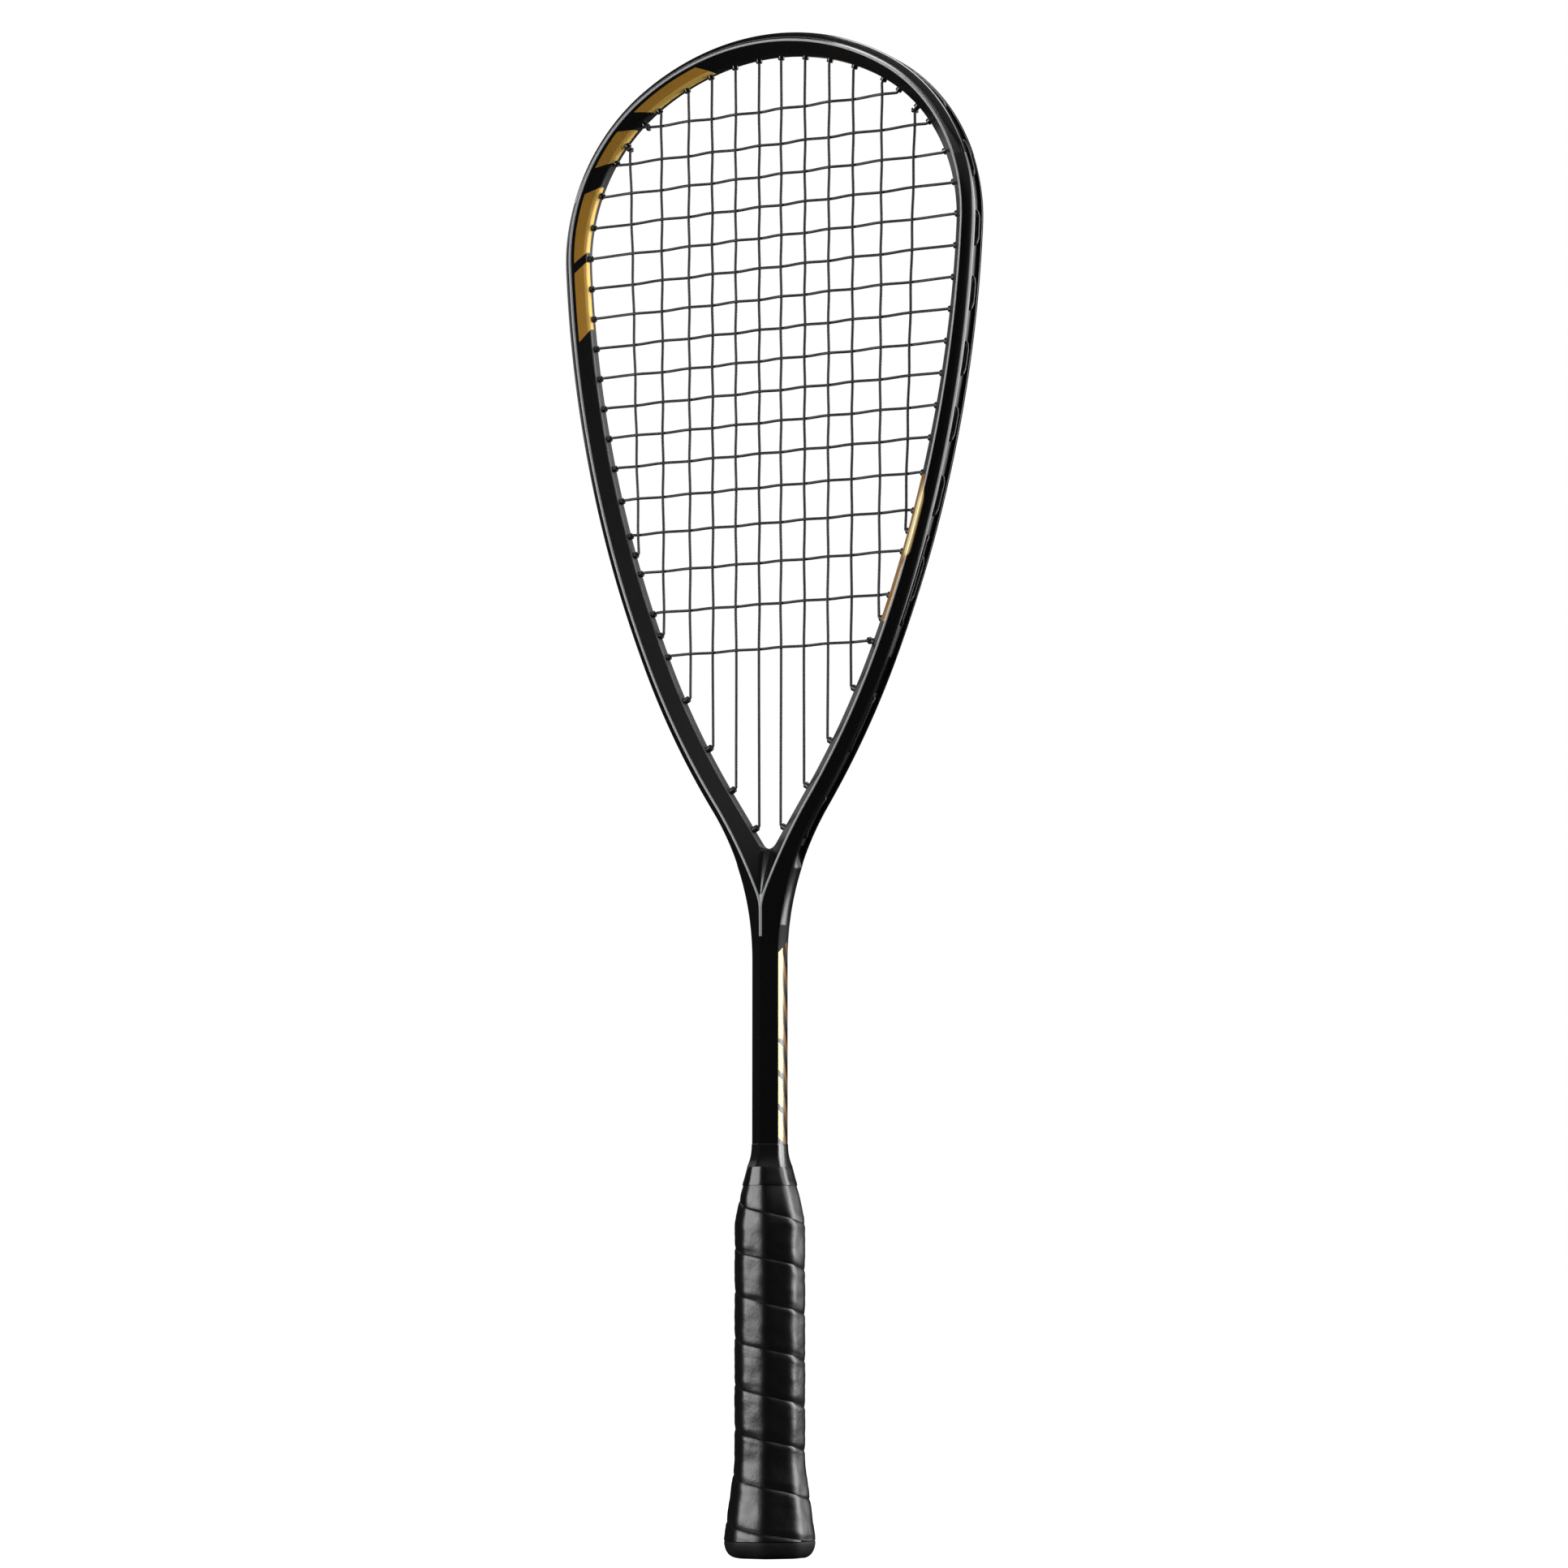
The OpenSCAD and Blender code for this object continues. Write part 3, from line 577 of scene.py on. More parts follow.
def makeLacquer():
    c = lacquer
    material, tree, shader = startMaterial("satinLacquer",
                                           {"Coat Roughness": 0.1, "Specular IOR Level": 0.42})
    place = objectPlace(tree)
    x, _, z = (part * 1000 for part in parts(place))
    along, inward, depth = parts(meshLayer(tree, "place", "Vector"))
    away = abs(depth)
    grain, cloud = noise(place, 900.0, 2.0), noise(place, 35.0, 3.0)

    # blocks on the inner flanks, on the left in front and on the right behind
    facing = (x * depth).above(0.0, 0.2)
    slanted = along + inward * c["slant"]
    blocks = sum(slanted.between(low, high, 0.12) for low, high in c["blocks"])
    blocks = blocks * facing * inward.above(c["innerEdge"], 0.06)

    # a blade beside the other ridges: its core, which thins to a tail, is a painted cream highlight, and the
    # rest of the blade is painted brown shade
    wideLow, wideHigh = c["bladeWide"]
    wideAlong = along.above(wideLow, 6.0) * along.below(wideHigh, 2.5)
    blade = along.between(*c["blade"], 0.3) * (1 - facing) * away.above(c["bladeFree"], 0.2)
    blade = blade * (inward + wideAlong * c["bladeRise"]).above(0.15, 0.15)
    tail = inward.between(*c["tailHighlight"], 0.4) * along.above(wideHigh + c["tailGap"], 2.0)
    core = inward.between(*c["bladeHighlight"], 0.5) * wideAlong + tail * 0.7

    # on the shaft's sides, long strokes on the rear half and thin gaps low on the front half
    rear = depth.above(c["rearFrom"], 0.3)
    long = (z + depth * c["longSlant"]) % c["strokePitch"]
    long = long.between(*c["longStroke"], 0.15)
    thin = (z + depth * c["thinSlant"] + c["thinShift"]) % c["strokePitch"]
    thin = thin.below(c["thinStroke"], 0.2) * z.below(c["thinBelow"], 1.0)
    shaftBlock = (z - depth * c["blockTilt"]).between(*c["shaftBlock"], 0.15)
    shaftBlock = shaftBlock * away.below(c["blockHalf"], 0.08)
    shaftBlock = shaftBlock * along.above(shaftStart - c["blockBefore"], 1.0)
    shaftBlock = shaftBlock * (rear * long + (1 - rear) * (1 - thin))
    gold = blocks + blade + shaftBlock

    # the line on the ridges, filled in where the two ridges meet
    line = abs(inward).below(c["lineHalf"], 0.08) * away.above(c["lineAway"], 0.5)
    line = line * z.above(c["lineEnd"], 0.1)
    join = abs(x).below(c["joinHalf"], 0.1) * z.between(c["lineEnd"], c["joinTop"], 0.1)
    line = line.maths("MAXIMUM", join * away.above(c["joinAway"], 0.3)) * (1 - blade)

    # painted highlight: the inner wall and the front half of the shaft's gold are painted a lighter gold
    paintedHighlight = inward.above(c["wallEdge"], 0.1) * 0.7 + shaftBlock * (1 - rear) * 0.8
    tone = mixColour(paintedHighlight.capped(0.8) + cloud * 0.2, c["gold"], c["highlightGold"])
    # the blade is painted brown shade with a painted cream highlight along its core
    tone = mixColour(blade, tone, mixColour(core.capped(), c["shadedBrown"], c["highlightCream"]))
    # painted shade: the rear half of the shaft's gold is painted a darker gold
    tone = mixColour(shaftBlock * rear, tone, c["shadedGold"])
    tone = mixColour(gold.capped(), c["black"], tone)
    tone = mixColour(line, tone, c["silver"])
    bare = away.below(section["halfGroove"], 0.1) * along.below(grooveEnd + section["grooveRun"] - 1, 1.0)
    rough = c["rough"] + cloud * 0.07 + grain * 0.04 + gold * 0.06 + line * 0.2 + bare * 0.35
    feed(shader, {"Base Color": tone, "Roughness": rough,
                        "Metallic": gold.capped() * (c["metal"] - c["bladeLess"] * blade),
                        "Coat Weight": 0.25 - 0.08 * cloud + shaftBlock * 0.4,
                        "Normal": bump(grain * 0.4 + cloud, 0.05, 0.0004)})
    dull = z.between(*c["dullZone"], 0.3) * away.below(c["dullHalf"], 0.2) * (1 - shaftBlock)
    matt = Wire.add(tree, "BsdfPrincipled", None,
                    {"Base Color": c["black"], "Roughness": 0.5, "Specular IOR Level": 0.12})
    both = Wire.add(tree, "MixShader", None, {0: dull, 1: Wire(tree, shader.outputs[0]), 2: matt})
    feed(tree.nodes["Material Output"], {"Surface": both})
    return material


finishPiece(makeFrame(), "frame", makeLacquer())


# Grommets: a strip in the groove, and a barrel for each hole made by Geometry Nodes
grommets = {
    "stripT": 0.8, "lap": 4.0, "barrel": 3.0, "bore": 1.9, "edge": 0.28, "sides": 20, "fit": 0.05,
    "unit": 10.0, "sharp": 50, "faceRound": (0.3, 4), "footRound": (0.1, 2),
}
barrelLayers = {"isHole": "BOOLEAN", "turn": "FLOAT_VECTOR", "stretch": "FLOAT_VECTOR"}


class Graph:  # a Geometry Nodes tree under construction; inputs name the kind of each input
    def __init__(self, name, inputs):
        self.tree = bpy.data.node_groups.new(name, "GeometryNodeTree")
        face = self.tree.interface
        for label, kind in {"Geometry": "Geometry", **inputs}.items():
            face.new_socket(label, in_out="INPUT", socket_type="NodeSocket" + kind)
        face.new_socket("Geometry", in_out="OUTPUT", socket_type="NodeSocketGeometry")
        self.into = self.tree.nodes.new("NodeGroupInput").outputs

    def node(self, kind, inputs=None, settings=None, output=0):
        node = self.tree.nodes.new(kind)
        for key, value in (settings or {}).items():
            setattr(node, key, value)
        for key, value in (inputs or {}).items():
            links = value if isinstance(value, list) else [value]
            for link in links:
                if isinstance(link, bpy.types.NodeSocket):
                    self.tree.links.new(link, node.inputs[key])
                else:
                    node.inputs[key].default_value = link
        return node.outputs[output]

    def ring(self):
        return self.node("GeometryNodeCurvePrimitiveCircle",
                         {"Resolution": self.into["Sides"], "Radius": self.into["Radius"]})

    def finish(self, shape):
        real = self.node("GeometryNodeRealizeInstances", {"Geometry": shape})
        done = self.node("GeometryNodeSetMaterial", {"Geometry": real, "Material": self.into["Material"]})
        self.tree.links.new(done, self.tree.nodes.new("NodeGroupOutput").inputs[0])
        return self.tree


def runGraph(obj, tree, values):
    modifier = obj.modifiers.new("graph", "NODES")
    modifier.node_group = tree
    for item in tree.interface.items_tree:
        if item.item_type == "SOCKET" and item.in_out == "INPUT" and item.name in values:
            modifier[item.identifier] = values[item.name]
    return plainMesh(obj)


def barrelGraph():
    graph = Graph("grommetBarrels", {"Radius": "Float", "Thick": "Float", "Length": "Float", "Edge": "Float",
                                     "Sides": "Int", "Material": "Material"})
    into = graph.into
    sheet = graph.node("GeometryNodeCurvePrimitiveQuadrilateral",
                       {"Width": into["Thick"], "Height": into["Length"]})
    soft = graph.node("GeometryNodeFilletCurve", {"Curve": sheet, "Count": 2, "Radius": into["Edge"],
                                                  "Limit Radius": True}, {"mode": "POLY"})
    tube = graph.node("GeometryNodeCurveToMesh", {"Curve": graph.ring(), "Profile Curve": soft})
    isHole, turn, stretch = (
        graph.node("GeometryNodeInputNamedAttribute", {"Name": name}, {"data_type": kind})
        for name, kind in barrelLayers.items())
    chosen = graph.node("GeometryNodeSeparateGeometry", {"Geometry": into["Geometry"], "Selection": isHole},
                        {"domain": "POINT"})
    points = graph.node("GeometryNodeMeshToPoints", {"Mesh": chosen})
    rotation = graph.node("FunctionNodeEulerToRotation", {0: turn})
    tubes = graph.node("GeometryNodeInstanceOnPoints",
                       {"Points": points, "Instance": tube, "Rotation": rotation, "Scale": stretch})
    strip = chosen.node.outputs["Inverted"]
    return graph.finish(graph.node("GeometryNodeJoinGeometry", {"Geometry": [strip, tubes]}))


barrelTree = barrelGraph()


def addBarrels(bm, places, side):
    layers = bm.verts.layers
    isHole = layers.bool.get("isHole") or layers.bool.new("isHole")
    turn = layers.float_vector.get("turn") or layers.float_vector.new("turn")
    stretch = layers.float_vector.get("stretch") or layers.float_vector.new("stretch")
    low = section["grooveDepth"] - grommets["stripT"] / 2
    for s in places:
        high = widthAt(s) + nubAt(s)
        n = outward(wall(s)[1])
        axis = Vector((-side * n.x, 0, -n.y))
        vert = bm.verts.new(at(side, s, (low + high) / 2, 0.0) * mm)
        vert[isHole] = True
        vert[turn] = axis.to_track_quat("Z", "Y").to_euler()
        vert[stretch] = (1, 1, (high - low) / grommets["unit"])


def stripStations(low, high, step=2.0):
    return spread(low, high, max(2, math.ceil((high - low) / step)))


def barrelsOn(name, bm, material):
    bmesh.ops.recalc_face_normals(bm, faces=bm.faces)
    mesh = meshFrom(bm, name)
    mesh.materials.append(material)
    obj = putObject(name, mesh)
    g = grommets
    sizes = {"Radius": (g["barrel"] + g["bore"]) / 4, "Thick": (g["barrel"] - g["bore"]) / 2,
             "Length": g["unit"], "Edge": g["edge"]}
    sizes = {key: value * mm for key, value in sizes.items()}
    runGraph(obj, barrelTree, {**sizes, "Sides": g["sides"], "Material": material})
    shadeSoft(obj.data, g["sharp"])
    for layer in barrelLayers:
        if layer in obj.data.attributes:
            obj.data.attributes.remove(obj.data.attributes[layer])
    return obj


def makeStrip(name, places, side, material):
    g = grommets
    low = section["grooveDepth"] - g["fit"]
    high, half = low - g["stripT"], section["halfGroove"] - g["fit"]
    profile = mirrorLoop([(high, half, *g["faceRound"]), (low, half, *g["footRound"])])
    stations = stripStations(min(places) - g["lap"] / 2, max(places) + g["lap"])
    bm = bmesh.new()
    solidRings(bm, [lay(side, s, profile) for s in stations])
    addBarrels(bm, places, side)
    return barrelsOn(name, bm, material)


def makeNylon(name, tone, rough, wear):
    material, tree, shader = startMaterial(name, {"Specular IOR Level": 0.5})
    place = objectPlace(tree)
    fine, wide = noise(place, 2600.0, 2.0), noise(place, 60.0, 4.0)
    scuffs = noise(stretched(place, (1.0, 4.0, 1.0)), 260.0, 4.0, 0.7).above(0.62, 0.08)
    colour = mixColour(wide * 0.4 + scuffs * 0.25, *shades(tone, 3.0))
    feed(shader, {"Base Color": colour, "Roughness": rough + wear * (wide * 0.12 + scuffs * 0.1),
                        "Normal": bump(fine * 0.4 + scuffs * 0.3 + wide, 0.08 * wear, 0.0002)})
    return material


grommetNylon = makeNylon("grommetNylon", (0.005, 0.005, 0.0053), 0.36, 1.0)
for sideName, side in (("left", -1), ("right", 1)):
    for place, row in (("Grommet", stripHoles), ("Throat", throatHoles)):
        strip = makeStrip(sideName + place + "Strip", row, side, grommetNylon)
        finishPiece(strip, sideName + "_" + place.lower() + "_strip", grommetNylon)


# Bumper guard: a rounded channel over the top of the hoop, with tapered ends
bumper = {
    "channelHalf": 2.2, "taper": 9.0, "endLip": 1.05, "skirt": 0.6, "skirtEnd": 0.1, "skirtTaper": 20.0,
    "clear": 0.03, "floorRound": (0.2, 2), "lipRound": (0.45, 4), "edgeRound": (2.4, 7),
    "skirtRound": (0.2, 3), "tightRound": (0.05, 2),
}


def makeBumper(material):
    g, c, b = grommets, section, bumper
    low = c["grooveDepth"] - g["fit"]
    high, seat, stripHalf = low - g["stripT"], c["bumperSeat"] - g["fit"], c["halfGroove"] - g["fit"]
    reach, channel, wide, tight = c["bumperReach"], b["channelHalf"], c["halfOuter"], b["tightRound"]

    def profile(s):
        top = lerp(seat - b["endLip"], 0.0, ease((reach - s) / b["taper"]))
        f = lerp(b["skirtEnd"], b["skirt"], ease((reach - s) / b["skirtTaper"]))
        y = lerp(wide, c["halfDepth"], f)  # the skirt lies on the frame's front and back flanks
        face = lerp(top, c["ridgeIn"], f)
        under = lerp(c["bumperSeat"], c["ridgeIn"], f) - b["clear"]
        return mirrorLoop([
            (high, channel, *b["floorRound"]), (top, channel, *b["lipRound"]), (top, wide, *b["edgeRound"]),
            (face, y, *b["skirtRound"]), (under, y, *tight), (seat, wide, *tight),
            (seat, stripHalf, *tight), (low, stripHalf, *b["floorRound"])])

    bm = bmesh.new()
    right = [s for s in stripStations(0.0, reach) if s > 0]
    rows = [(-1, s) for s in right[::-1]] + [(1, 0.0)] + [(1, s) for s in right]
    solidRings(bm, [lay(side, s, profile(s)) for side, s in rows])
    addBarrels(bm, bumperHoles, 1)
    addBarrels(bm, bumperHoles, -1)
    return barrelsOn("bumperGuard", bm, material)


bumperNylon = makeNylon("bumperNylon", (0.0042, 0.0042, 0.0045), 0.17, 0.15)
finishPiece(makeBumper(bumperNylon), "bumper_guard", bumperNylon)


# Strings: one woven route for the mains and one for the crosses, made round by Geometry Nodes
def cordGraph():
    graph = Graph("stringCord", {"Radius": "Float", "Sides": "Int", "Material": "Material"})
    curve = graph.node("GeometryNodeMeshToCurve", {"Mesh": graph.into["Geometry"]})
    marked = []
    for shape, name, measure in ((curve, "along", "Length"), (graph.ring(), "around", "Factor")):
        value = graph.node("GeometryNodeSplineParameter", output=measure)
        marked.append(graph.node("GeometryNodeStoreNamedAttribute",
                                 {"Geometry": shape, "Name": name, "Value": value},
                                 {"data_type": "FLOAT", "domain": "POINT"}))
    return graph.finish(graph.node("GeometryNodeCurveToMesh",
                                   {"Curve": marked[0], "Profile Curve": marked[1], "Fill Caps": True}))


cordTree = cordGraph()


def makeCord(name, routes, radius, material):
    bm = bmesh.new()
    for route in routes:
        verts = [bm.verts.new(p * mm) for p in route]
        for a, b in zip(verts, verts[1:]):
            bm.edges.new((a, b))
    obj = putObject(name, meshFrom(bm, name))
    runGraph(obj, cordTree, {"Radius": radius * mm, "Sides": strings["sides"], "Material": material})
    shadeSoft(obj.data, strings["sharp"])
    return obj


def softRoute(points, steps=5):  # rounds each bend of a route
    out = [points[0]]
    for a, b, c in zip(points, points[1:], points[2:]):
        if (a - b).angle(c - b) > math.radians(strings["straightFrom"]):
            out.append(b)
        else:
            out += roundCorner(a, b, c, strings["bendRound"], steps)
    out.append(points[-1])
    return [p for i, p in enumerate(out) if i == 0 or (p - out[i - 1]).length > strings["leastStep"]]


mainList = [(-1, k) for k in range(mainsHalf - 1, -1, -1)] + [(1, k) for k in range(mainsHalf)]


def mainEnds(i):
    side, k = mainList[i]
    return bendAt(side, topHole[k]), bendAt(side, bottomHole[k])


def mainPoint(i, z):
    a, b = mainEnds(i)
    return lerp(a.x, b.x, (a.z - z) / (a.z - b.z))


def metMains(j):
    e = bendAt(1, crossHole[j])
    return [i for i in range(2 * mainsHalf) if abs(mainPoint(i, e.z)) < e.x - 2 * strings["radius"]]


swing = 2 * strings["radius"] + strings["clear"]


def overSign(i, j):  # +1 where the cross passes behind the main
    return (i + j) % 2 * 2 - 1


def wave(places, values, steps=6):  # a soft weave through the values at their places
    out = []
    for (a, va), (b, vb) in zip(zip(places, values), zip(places[1:], values[1:])):
        for k in range(steps):
            t = k / steps
            out.append((lerp(a, b, t), lerp(va, vb, (1 - math.cos(math.pi * t)) / 2)))
    out.append((places[-1], values[-1]))
    return out


def mainSpan(i):
    a, b = mainEnds(i)
    met = [j for j in range(strings["crosses"]) if i in metMains(j)]
    places = [a.z] + [crossZ[j] for j in met] + [b.z]
    share = -strings["mainShare"] * swing
    values = [0.0] + [overSign(i, j) * share for j in met] + [0.0]
    return [Vector((mainPoint(i, z), y, z)) for z, y in wave(places, values)]


def crossSpan(j):
    e = bendAt(1, crossHole[j])
    met = metMains(j)
    places = [-e.x] + [mainPoint(i, e.z) for i in met] + [e.x]
    share = (1 - strings["mainShare"]) * swing
    values = [0.0] + [overSign(i, j) * share for i in met] + [0.0]
    return [Vector((x, y, e.z)) for x, y in wave(places, values)]


def groovePath(a, b, y):  # along the groove from one hole to the next; a and b are signed
    leave = math.copysign(strings["runLeave"], b - a)
    n = max(2, math.ceil(abs(b - a) / strings["runStep"]))
    return [at(1 if s >= 0 else -1, abs(s), strings["runDepth"], y) for s in spread(a + leave, b - leave, n)]


def mouth(side, s, ended):
    return at(side, s, section["grooveDepth"] if ended else strings["runDepth"], 0.0)


def mainRoute():
    route, count = [], 2 * mainsHalf
    for i, (side, k) in enumerate(mainList):
        ended = i in (0, count - 1)
        down = [mouth(side, topHole[k], ended), *mainSpan(i), mouth(side, bottomHole[k], False)]
        route += down if i % 2 == 0 else down[::-1]
        if i < count - 1:
            row = bottomHole if i % 2 == 0 else topHole
            otherSide, other = mainList[i + 1]
            route += groovePath(side * row[k], otherSide * row[other], -strings["lane"])
    return softRoute(route)


def crossRoute():
    route, count = [], strings["crosses"]
    for j, s in enumerate(crossHole):
        across = [mouth(-1, s, j == 0), *crossSpan(j), mouth(1, s, j == count - 1)]
        route += across if j % 2 == 0 else across[::-1]
        if j < count - 1:
            d = 1 if j % 2 == 0 else -1
            route += groovePath(d * s, d * crossHole[j + 1], strings["lane"])
    return softRoute(route)


def makeStringFinish():
    material, tree, shader = startMaterial("twistedString", {"Specular IOR Level": 0.45})
    along, around = (meshLayer(tree, name, "Fac") for name in ("along", "around"))
    twist = ((along * 700.0 + around * 6.0) * (2 * math.pi)).maths("SINE") * 0.5 + 0.5
    cloud = noise(objectPlace(tree), 120.0, 3.0)
    colour = mixColour(twist * 0.35 + cloud * 0.5, (0.010, 0.010, 0.0105, 1), (0.034, 0.034, 0.036, 1))
    feed(shader, {"Base Color": colour, "Roughness": 0.34 + cloud * 0.12,
                        "Normal": bump(twist, 0.25, 0.00008)})
    return material


stringFinish = makeStringFinish()
for cordName, node, route in (("mainString", "main_string", mainRoute()),
                              ("crossString", "cross_string", crossRoute())):
    finishPiece(makeCord(cordName, [route], strings["radius"], stringFinish), node, stringFinish)


# Knots: each string end is wound round its own run, close to the barrel
knots = {"off": -0.55, "turns": 1.7, "rise": 0.9, "wire": 0.5, "clear": 0.05, "steps": 16, "aim": 4}


def knotRoute(p, q):
    d = (q - p).normalized()
    e = d.orthogonal().normalized()
    f = d.cross(e)
    radius = strings["radius"] + knots["clear"] + knots["wire"]
    start = p + d * (knots["off"] + knots["wire"])
    coil = []
    for i in range(round(knots["turns"] * knots["steps"]) + 1):
        turned = i / knots["steps"]
        a = 2 * math.pi * turned
        coil.append(start + knots["rise"] * turned * d + radius * (math.cos(a) * e + math.sin(a) * f))
    return coil


def makeKnots(material):
    lastMain, lastCross = 2 * mainsHalf - 1, strings["crosses"] - 1
    ends = [mainSpan(0), mainSpan(lastMain), crossSpan(0), crossSpan(lastCross)[::-1]]
    routes = [knotRoute(end[0], end[knots["aim"]]) for end in ends]
    return makeCord("tieOffKnots", routes, knots["wire"], material)


finishPiece(makeKnots(stringFinish), "tie_off_knots", stringFinish)


# Handle: eight-sided bodies with rounded corners, as stations of height, half width and half depth
handle = {
    "core": (13.0, 13.3), "coreFoot": 6.2, "step": 1.2, "flareTop": 41.0, "flare": 4.5,
    "rimH": 7.5, "capH": 36.0, "capGap": 0.1, "joinGap": 0.05,
    "coneZ": 146.5, "coneTop": 171.0, "coneTopHalf": (7.75, 10.4),
    "levels": (90.0, 146.5, 152.0, 158.0, 164.0, 170.9), "tip": 181.0, "tipRise": 0.3, "tipCover": 0.1,
    "collarCover": (2.3, 0.26), "collarCurve": 2.2, "collarRings": 12, "crownTurns": (-12, -6, 0, 6, 12),
    "softCore": 34.0, "softTape": 18.0, "softCollar": 40.0, "sides": 96, "sharp": 35,
}
octFaces = [(math.radians(45 * k), 1.0) for k in range(8)]


# A point on a polygon, given by its faces' directions and reaches, with corners rounded by a power mean
def softPoint(angle, faces, power):
    r = sum(max(0.0, math.cos(angle - turn) / reach) ** power for turn, reach in faces) ** (-1 / power)
    return r * math.cos(angle), r * math.sin(angle)


def coreAt(z, grow=0.0):  # a station of the core, or of a layer that grows out from it
    h = handle
    x, y = h["core"]
    if z < h["flareTop"]:
        g = h["flare"] * (h["flareTop"] - z) / (h["flareTop"] - h["rimH"])
        return z, x + g + grow, y + g + grow
    t = clamp((z - h["coneZ"]) / (h["coneTop"] - h["coneZ"]))
    return z, lerp(x, h["coneTopHalf"][0], t) + grow, lerp(y, h["coneTopHalf"][1], t) + grow


def ringAngles():
    return [2 * math.pi * k / handle["sides"] for k in range(handle["sides"])]


def octRings(stations, power):
    units = [softPoint(a, octFaces, power) for a in ringAngles()]
    return [[Vector((hx * u, hy * v, z)) for u, v in units] for z, hx, hy in stations]


def closedBody(name, rings, sharp):
    bm = bmesh.new()
    solidRings(bm, rings)
    return putObject(name, tidyMesh(bm, name, sharp))


def collarRing(z, cover):  # the shaft's section with its crowned sides, grown by the cover
    c, half = section, outline["shaftW"] / 2
    tilt = math.atan2(half, c["halfDepth"] - c["halfOuter"])
    side, flank = half + c["crown"] + cover, c["halfDepth"] * math.sin(tilt) + cover
    faces = [(tilt, flank), (math.pi - tilt, flank), (math.pi + tilt, flank), (-tilt, flank)]
    for degrees in handle["crownTurns"]:
        turn = math.radians(degrees)
        reach = math.cos(turn) * (side + (math.tan(turn) * c["halfOuter"]) ** 2 / (4 * c["crown"]))
        faces += [(turn, reach), (math.pi + turn, reach)]
    return [Vector((*softPoint(a, faces, handle["softCollar"]), z)) for a in ringAngles()]


def makeCore():
    h = handle
    x, y = (half - h["step"] for half in h["core"])
    stations = [(h["coreFoot"], x, y), (h["capH"], x, y)]
    stations += [coreAt(z) for z in (h["capH"] + h["capGap"], h["flareTop"], *h["levels"])]
    rings = octRings(stations, h["softCore"])
    for t in spread(0, 1, h["collarRings"]):  # the collar above the winding hollows in towards the shaft
        cover = lerp(*h["collarCover"], 1 - (1 - t) ** h["collarCurve"])
        rings.append(collarRing(lerp(h["coneTop"] + h["joinGap"], h["tip"], t), cover))
    rings.append(collarRing(h["tip"] + h["tipRise"], h["tipCover"]))
    return closedBody("handleCore", rings, h["sharp"])


def makeSkinned(name, tone, rough, coat):
    material, tree, shader = startMaterial(name, {"Specular IOR Level": 0.3, "Coat Roughness": 0.1})
    place = objectPlace(tree)
    fine, wide = noise(place, 1500.0, 3.0), noise(place, 90.0, 4.0)
    colour = mixColour(wide, *shades(tone, 2.2))
    feed(shader, {"Base Color": colour, "Roughness": rough + wide * 0.1,
                        "Coat Weight": coat * (0.7 + 0.6 * wide),
                        "Normal": bump(fine * 0.35 + wide, 0.12, 0.0005)})
    return material


collarSkin = makeSkinned("collarSkin", (0.004, 0.004, 0.0043), 0.2, 0.5)
finishPiece(makeCore(), "handle_core", collarSkin)


# Butt cap: a rounded rim below the tape, with a shallow dished foot
cap = {
    "rim": (19.4, 19.7), "dish": 0.6, "dishAt": 0.62, "dishIn": 0.94, "footAt": 0.66, "level": 20.0,
    "sharp": 40,
    "steps": ((0.0, 4.2), (0.35, 3.3), (0.9, 2.45), (1.7, 1.65), (2.8, 0.95), (4.1, 0.42),
              (5.5, 0.12), (6.6, 0.0), (7.2, 0.08), (7.45, 0.5)),  # height and inset
}


def makeCap():
    h, (rx, ry) = handle, cap["rim"]
    footX, footY = rx - cap["steps"][0][1], ry - cap["steps"][0][1]
    foot = ((cap["dish"], cap["dishAt"] * cap["dishIn"]), (h["joinGap"], cap["dishAt"]), (0.0, cap["footAt"]))
    stations = [(z, footX * share, footY * share) for z, share in foot]
    stations += [(z, rx - inset, ry - inset) for z, inset in cap["steps"]]
    stations += [coreAt(z) for z in (h["rimH"] + h["joinGap"], cap["level"], h["capH"])]
    return weightNormals(closedBody("buttCap", octRings(stations, h["softTape"]), cap["sharp"]))


def makeRubber():
    material, tree, shader = startMaterial("mattRubber", {"Specular IOR Level": 0.3})
    place = objectPlace(tree)
    fine, wide = noise(place, 1900.0, 3.0, 0.7), noise(place, 70.0, 4.0)
    low = parts(place)[2].below(0.0022, 0.0018)
    dust = noise(place, 420.0, 4.0, 0.65).above(0.56, 0.1) * low
    colour = mixColour(wide * 0.5 + dust * 0.5, (0.0045, 0.0045, 0.0047, 1), (0.022, 0.0215, 0.0205, 1))
    feed(shader, {"Base Color": colour, "Roughness": 0.5 + wide * 0.14 + dust * 0.15,
                        "Normal": bump(fine, 0.3, 0.0002)})
    return material


finishPiece(makeCap(), "butt_cap", makeRubber())


# Grip: one cushioned strip wound up the handle, its edges turned down at every seam
tape = {
    "thick": 1.9, "least": 0.3, "pitch": 20.0, "gap": 0.08, "fit": 0.12, "low": 7.6, "high": 170.9,
    "start": -7.5, "startHeight": 0.4, "endHeight": 1.5, "thinFrom": 156.0, "endThick": 0.9,
    "lowEdge": 3.6, "lowDrop": 0.42, "lowCurve": 1.7, "highEdge": 1.6, "highDrop": 0.4, "highCurve": 2.0,
    "wander": 0.35, "wanderWaves": ((1.0, 2.3, 0.7), (0.5, 9.1, 0.0)), "rings": 96, "across": 19, "sharp": 50,
    "wrinkle": 0.07, "wrinkleFade": 6.0,
    "waves": ((23.0, 0.9, 0.0), (37.0, -0.55, 1.9), (11.0, 1.6, 4.1), (61.0, 0.35, 2.6)),
}


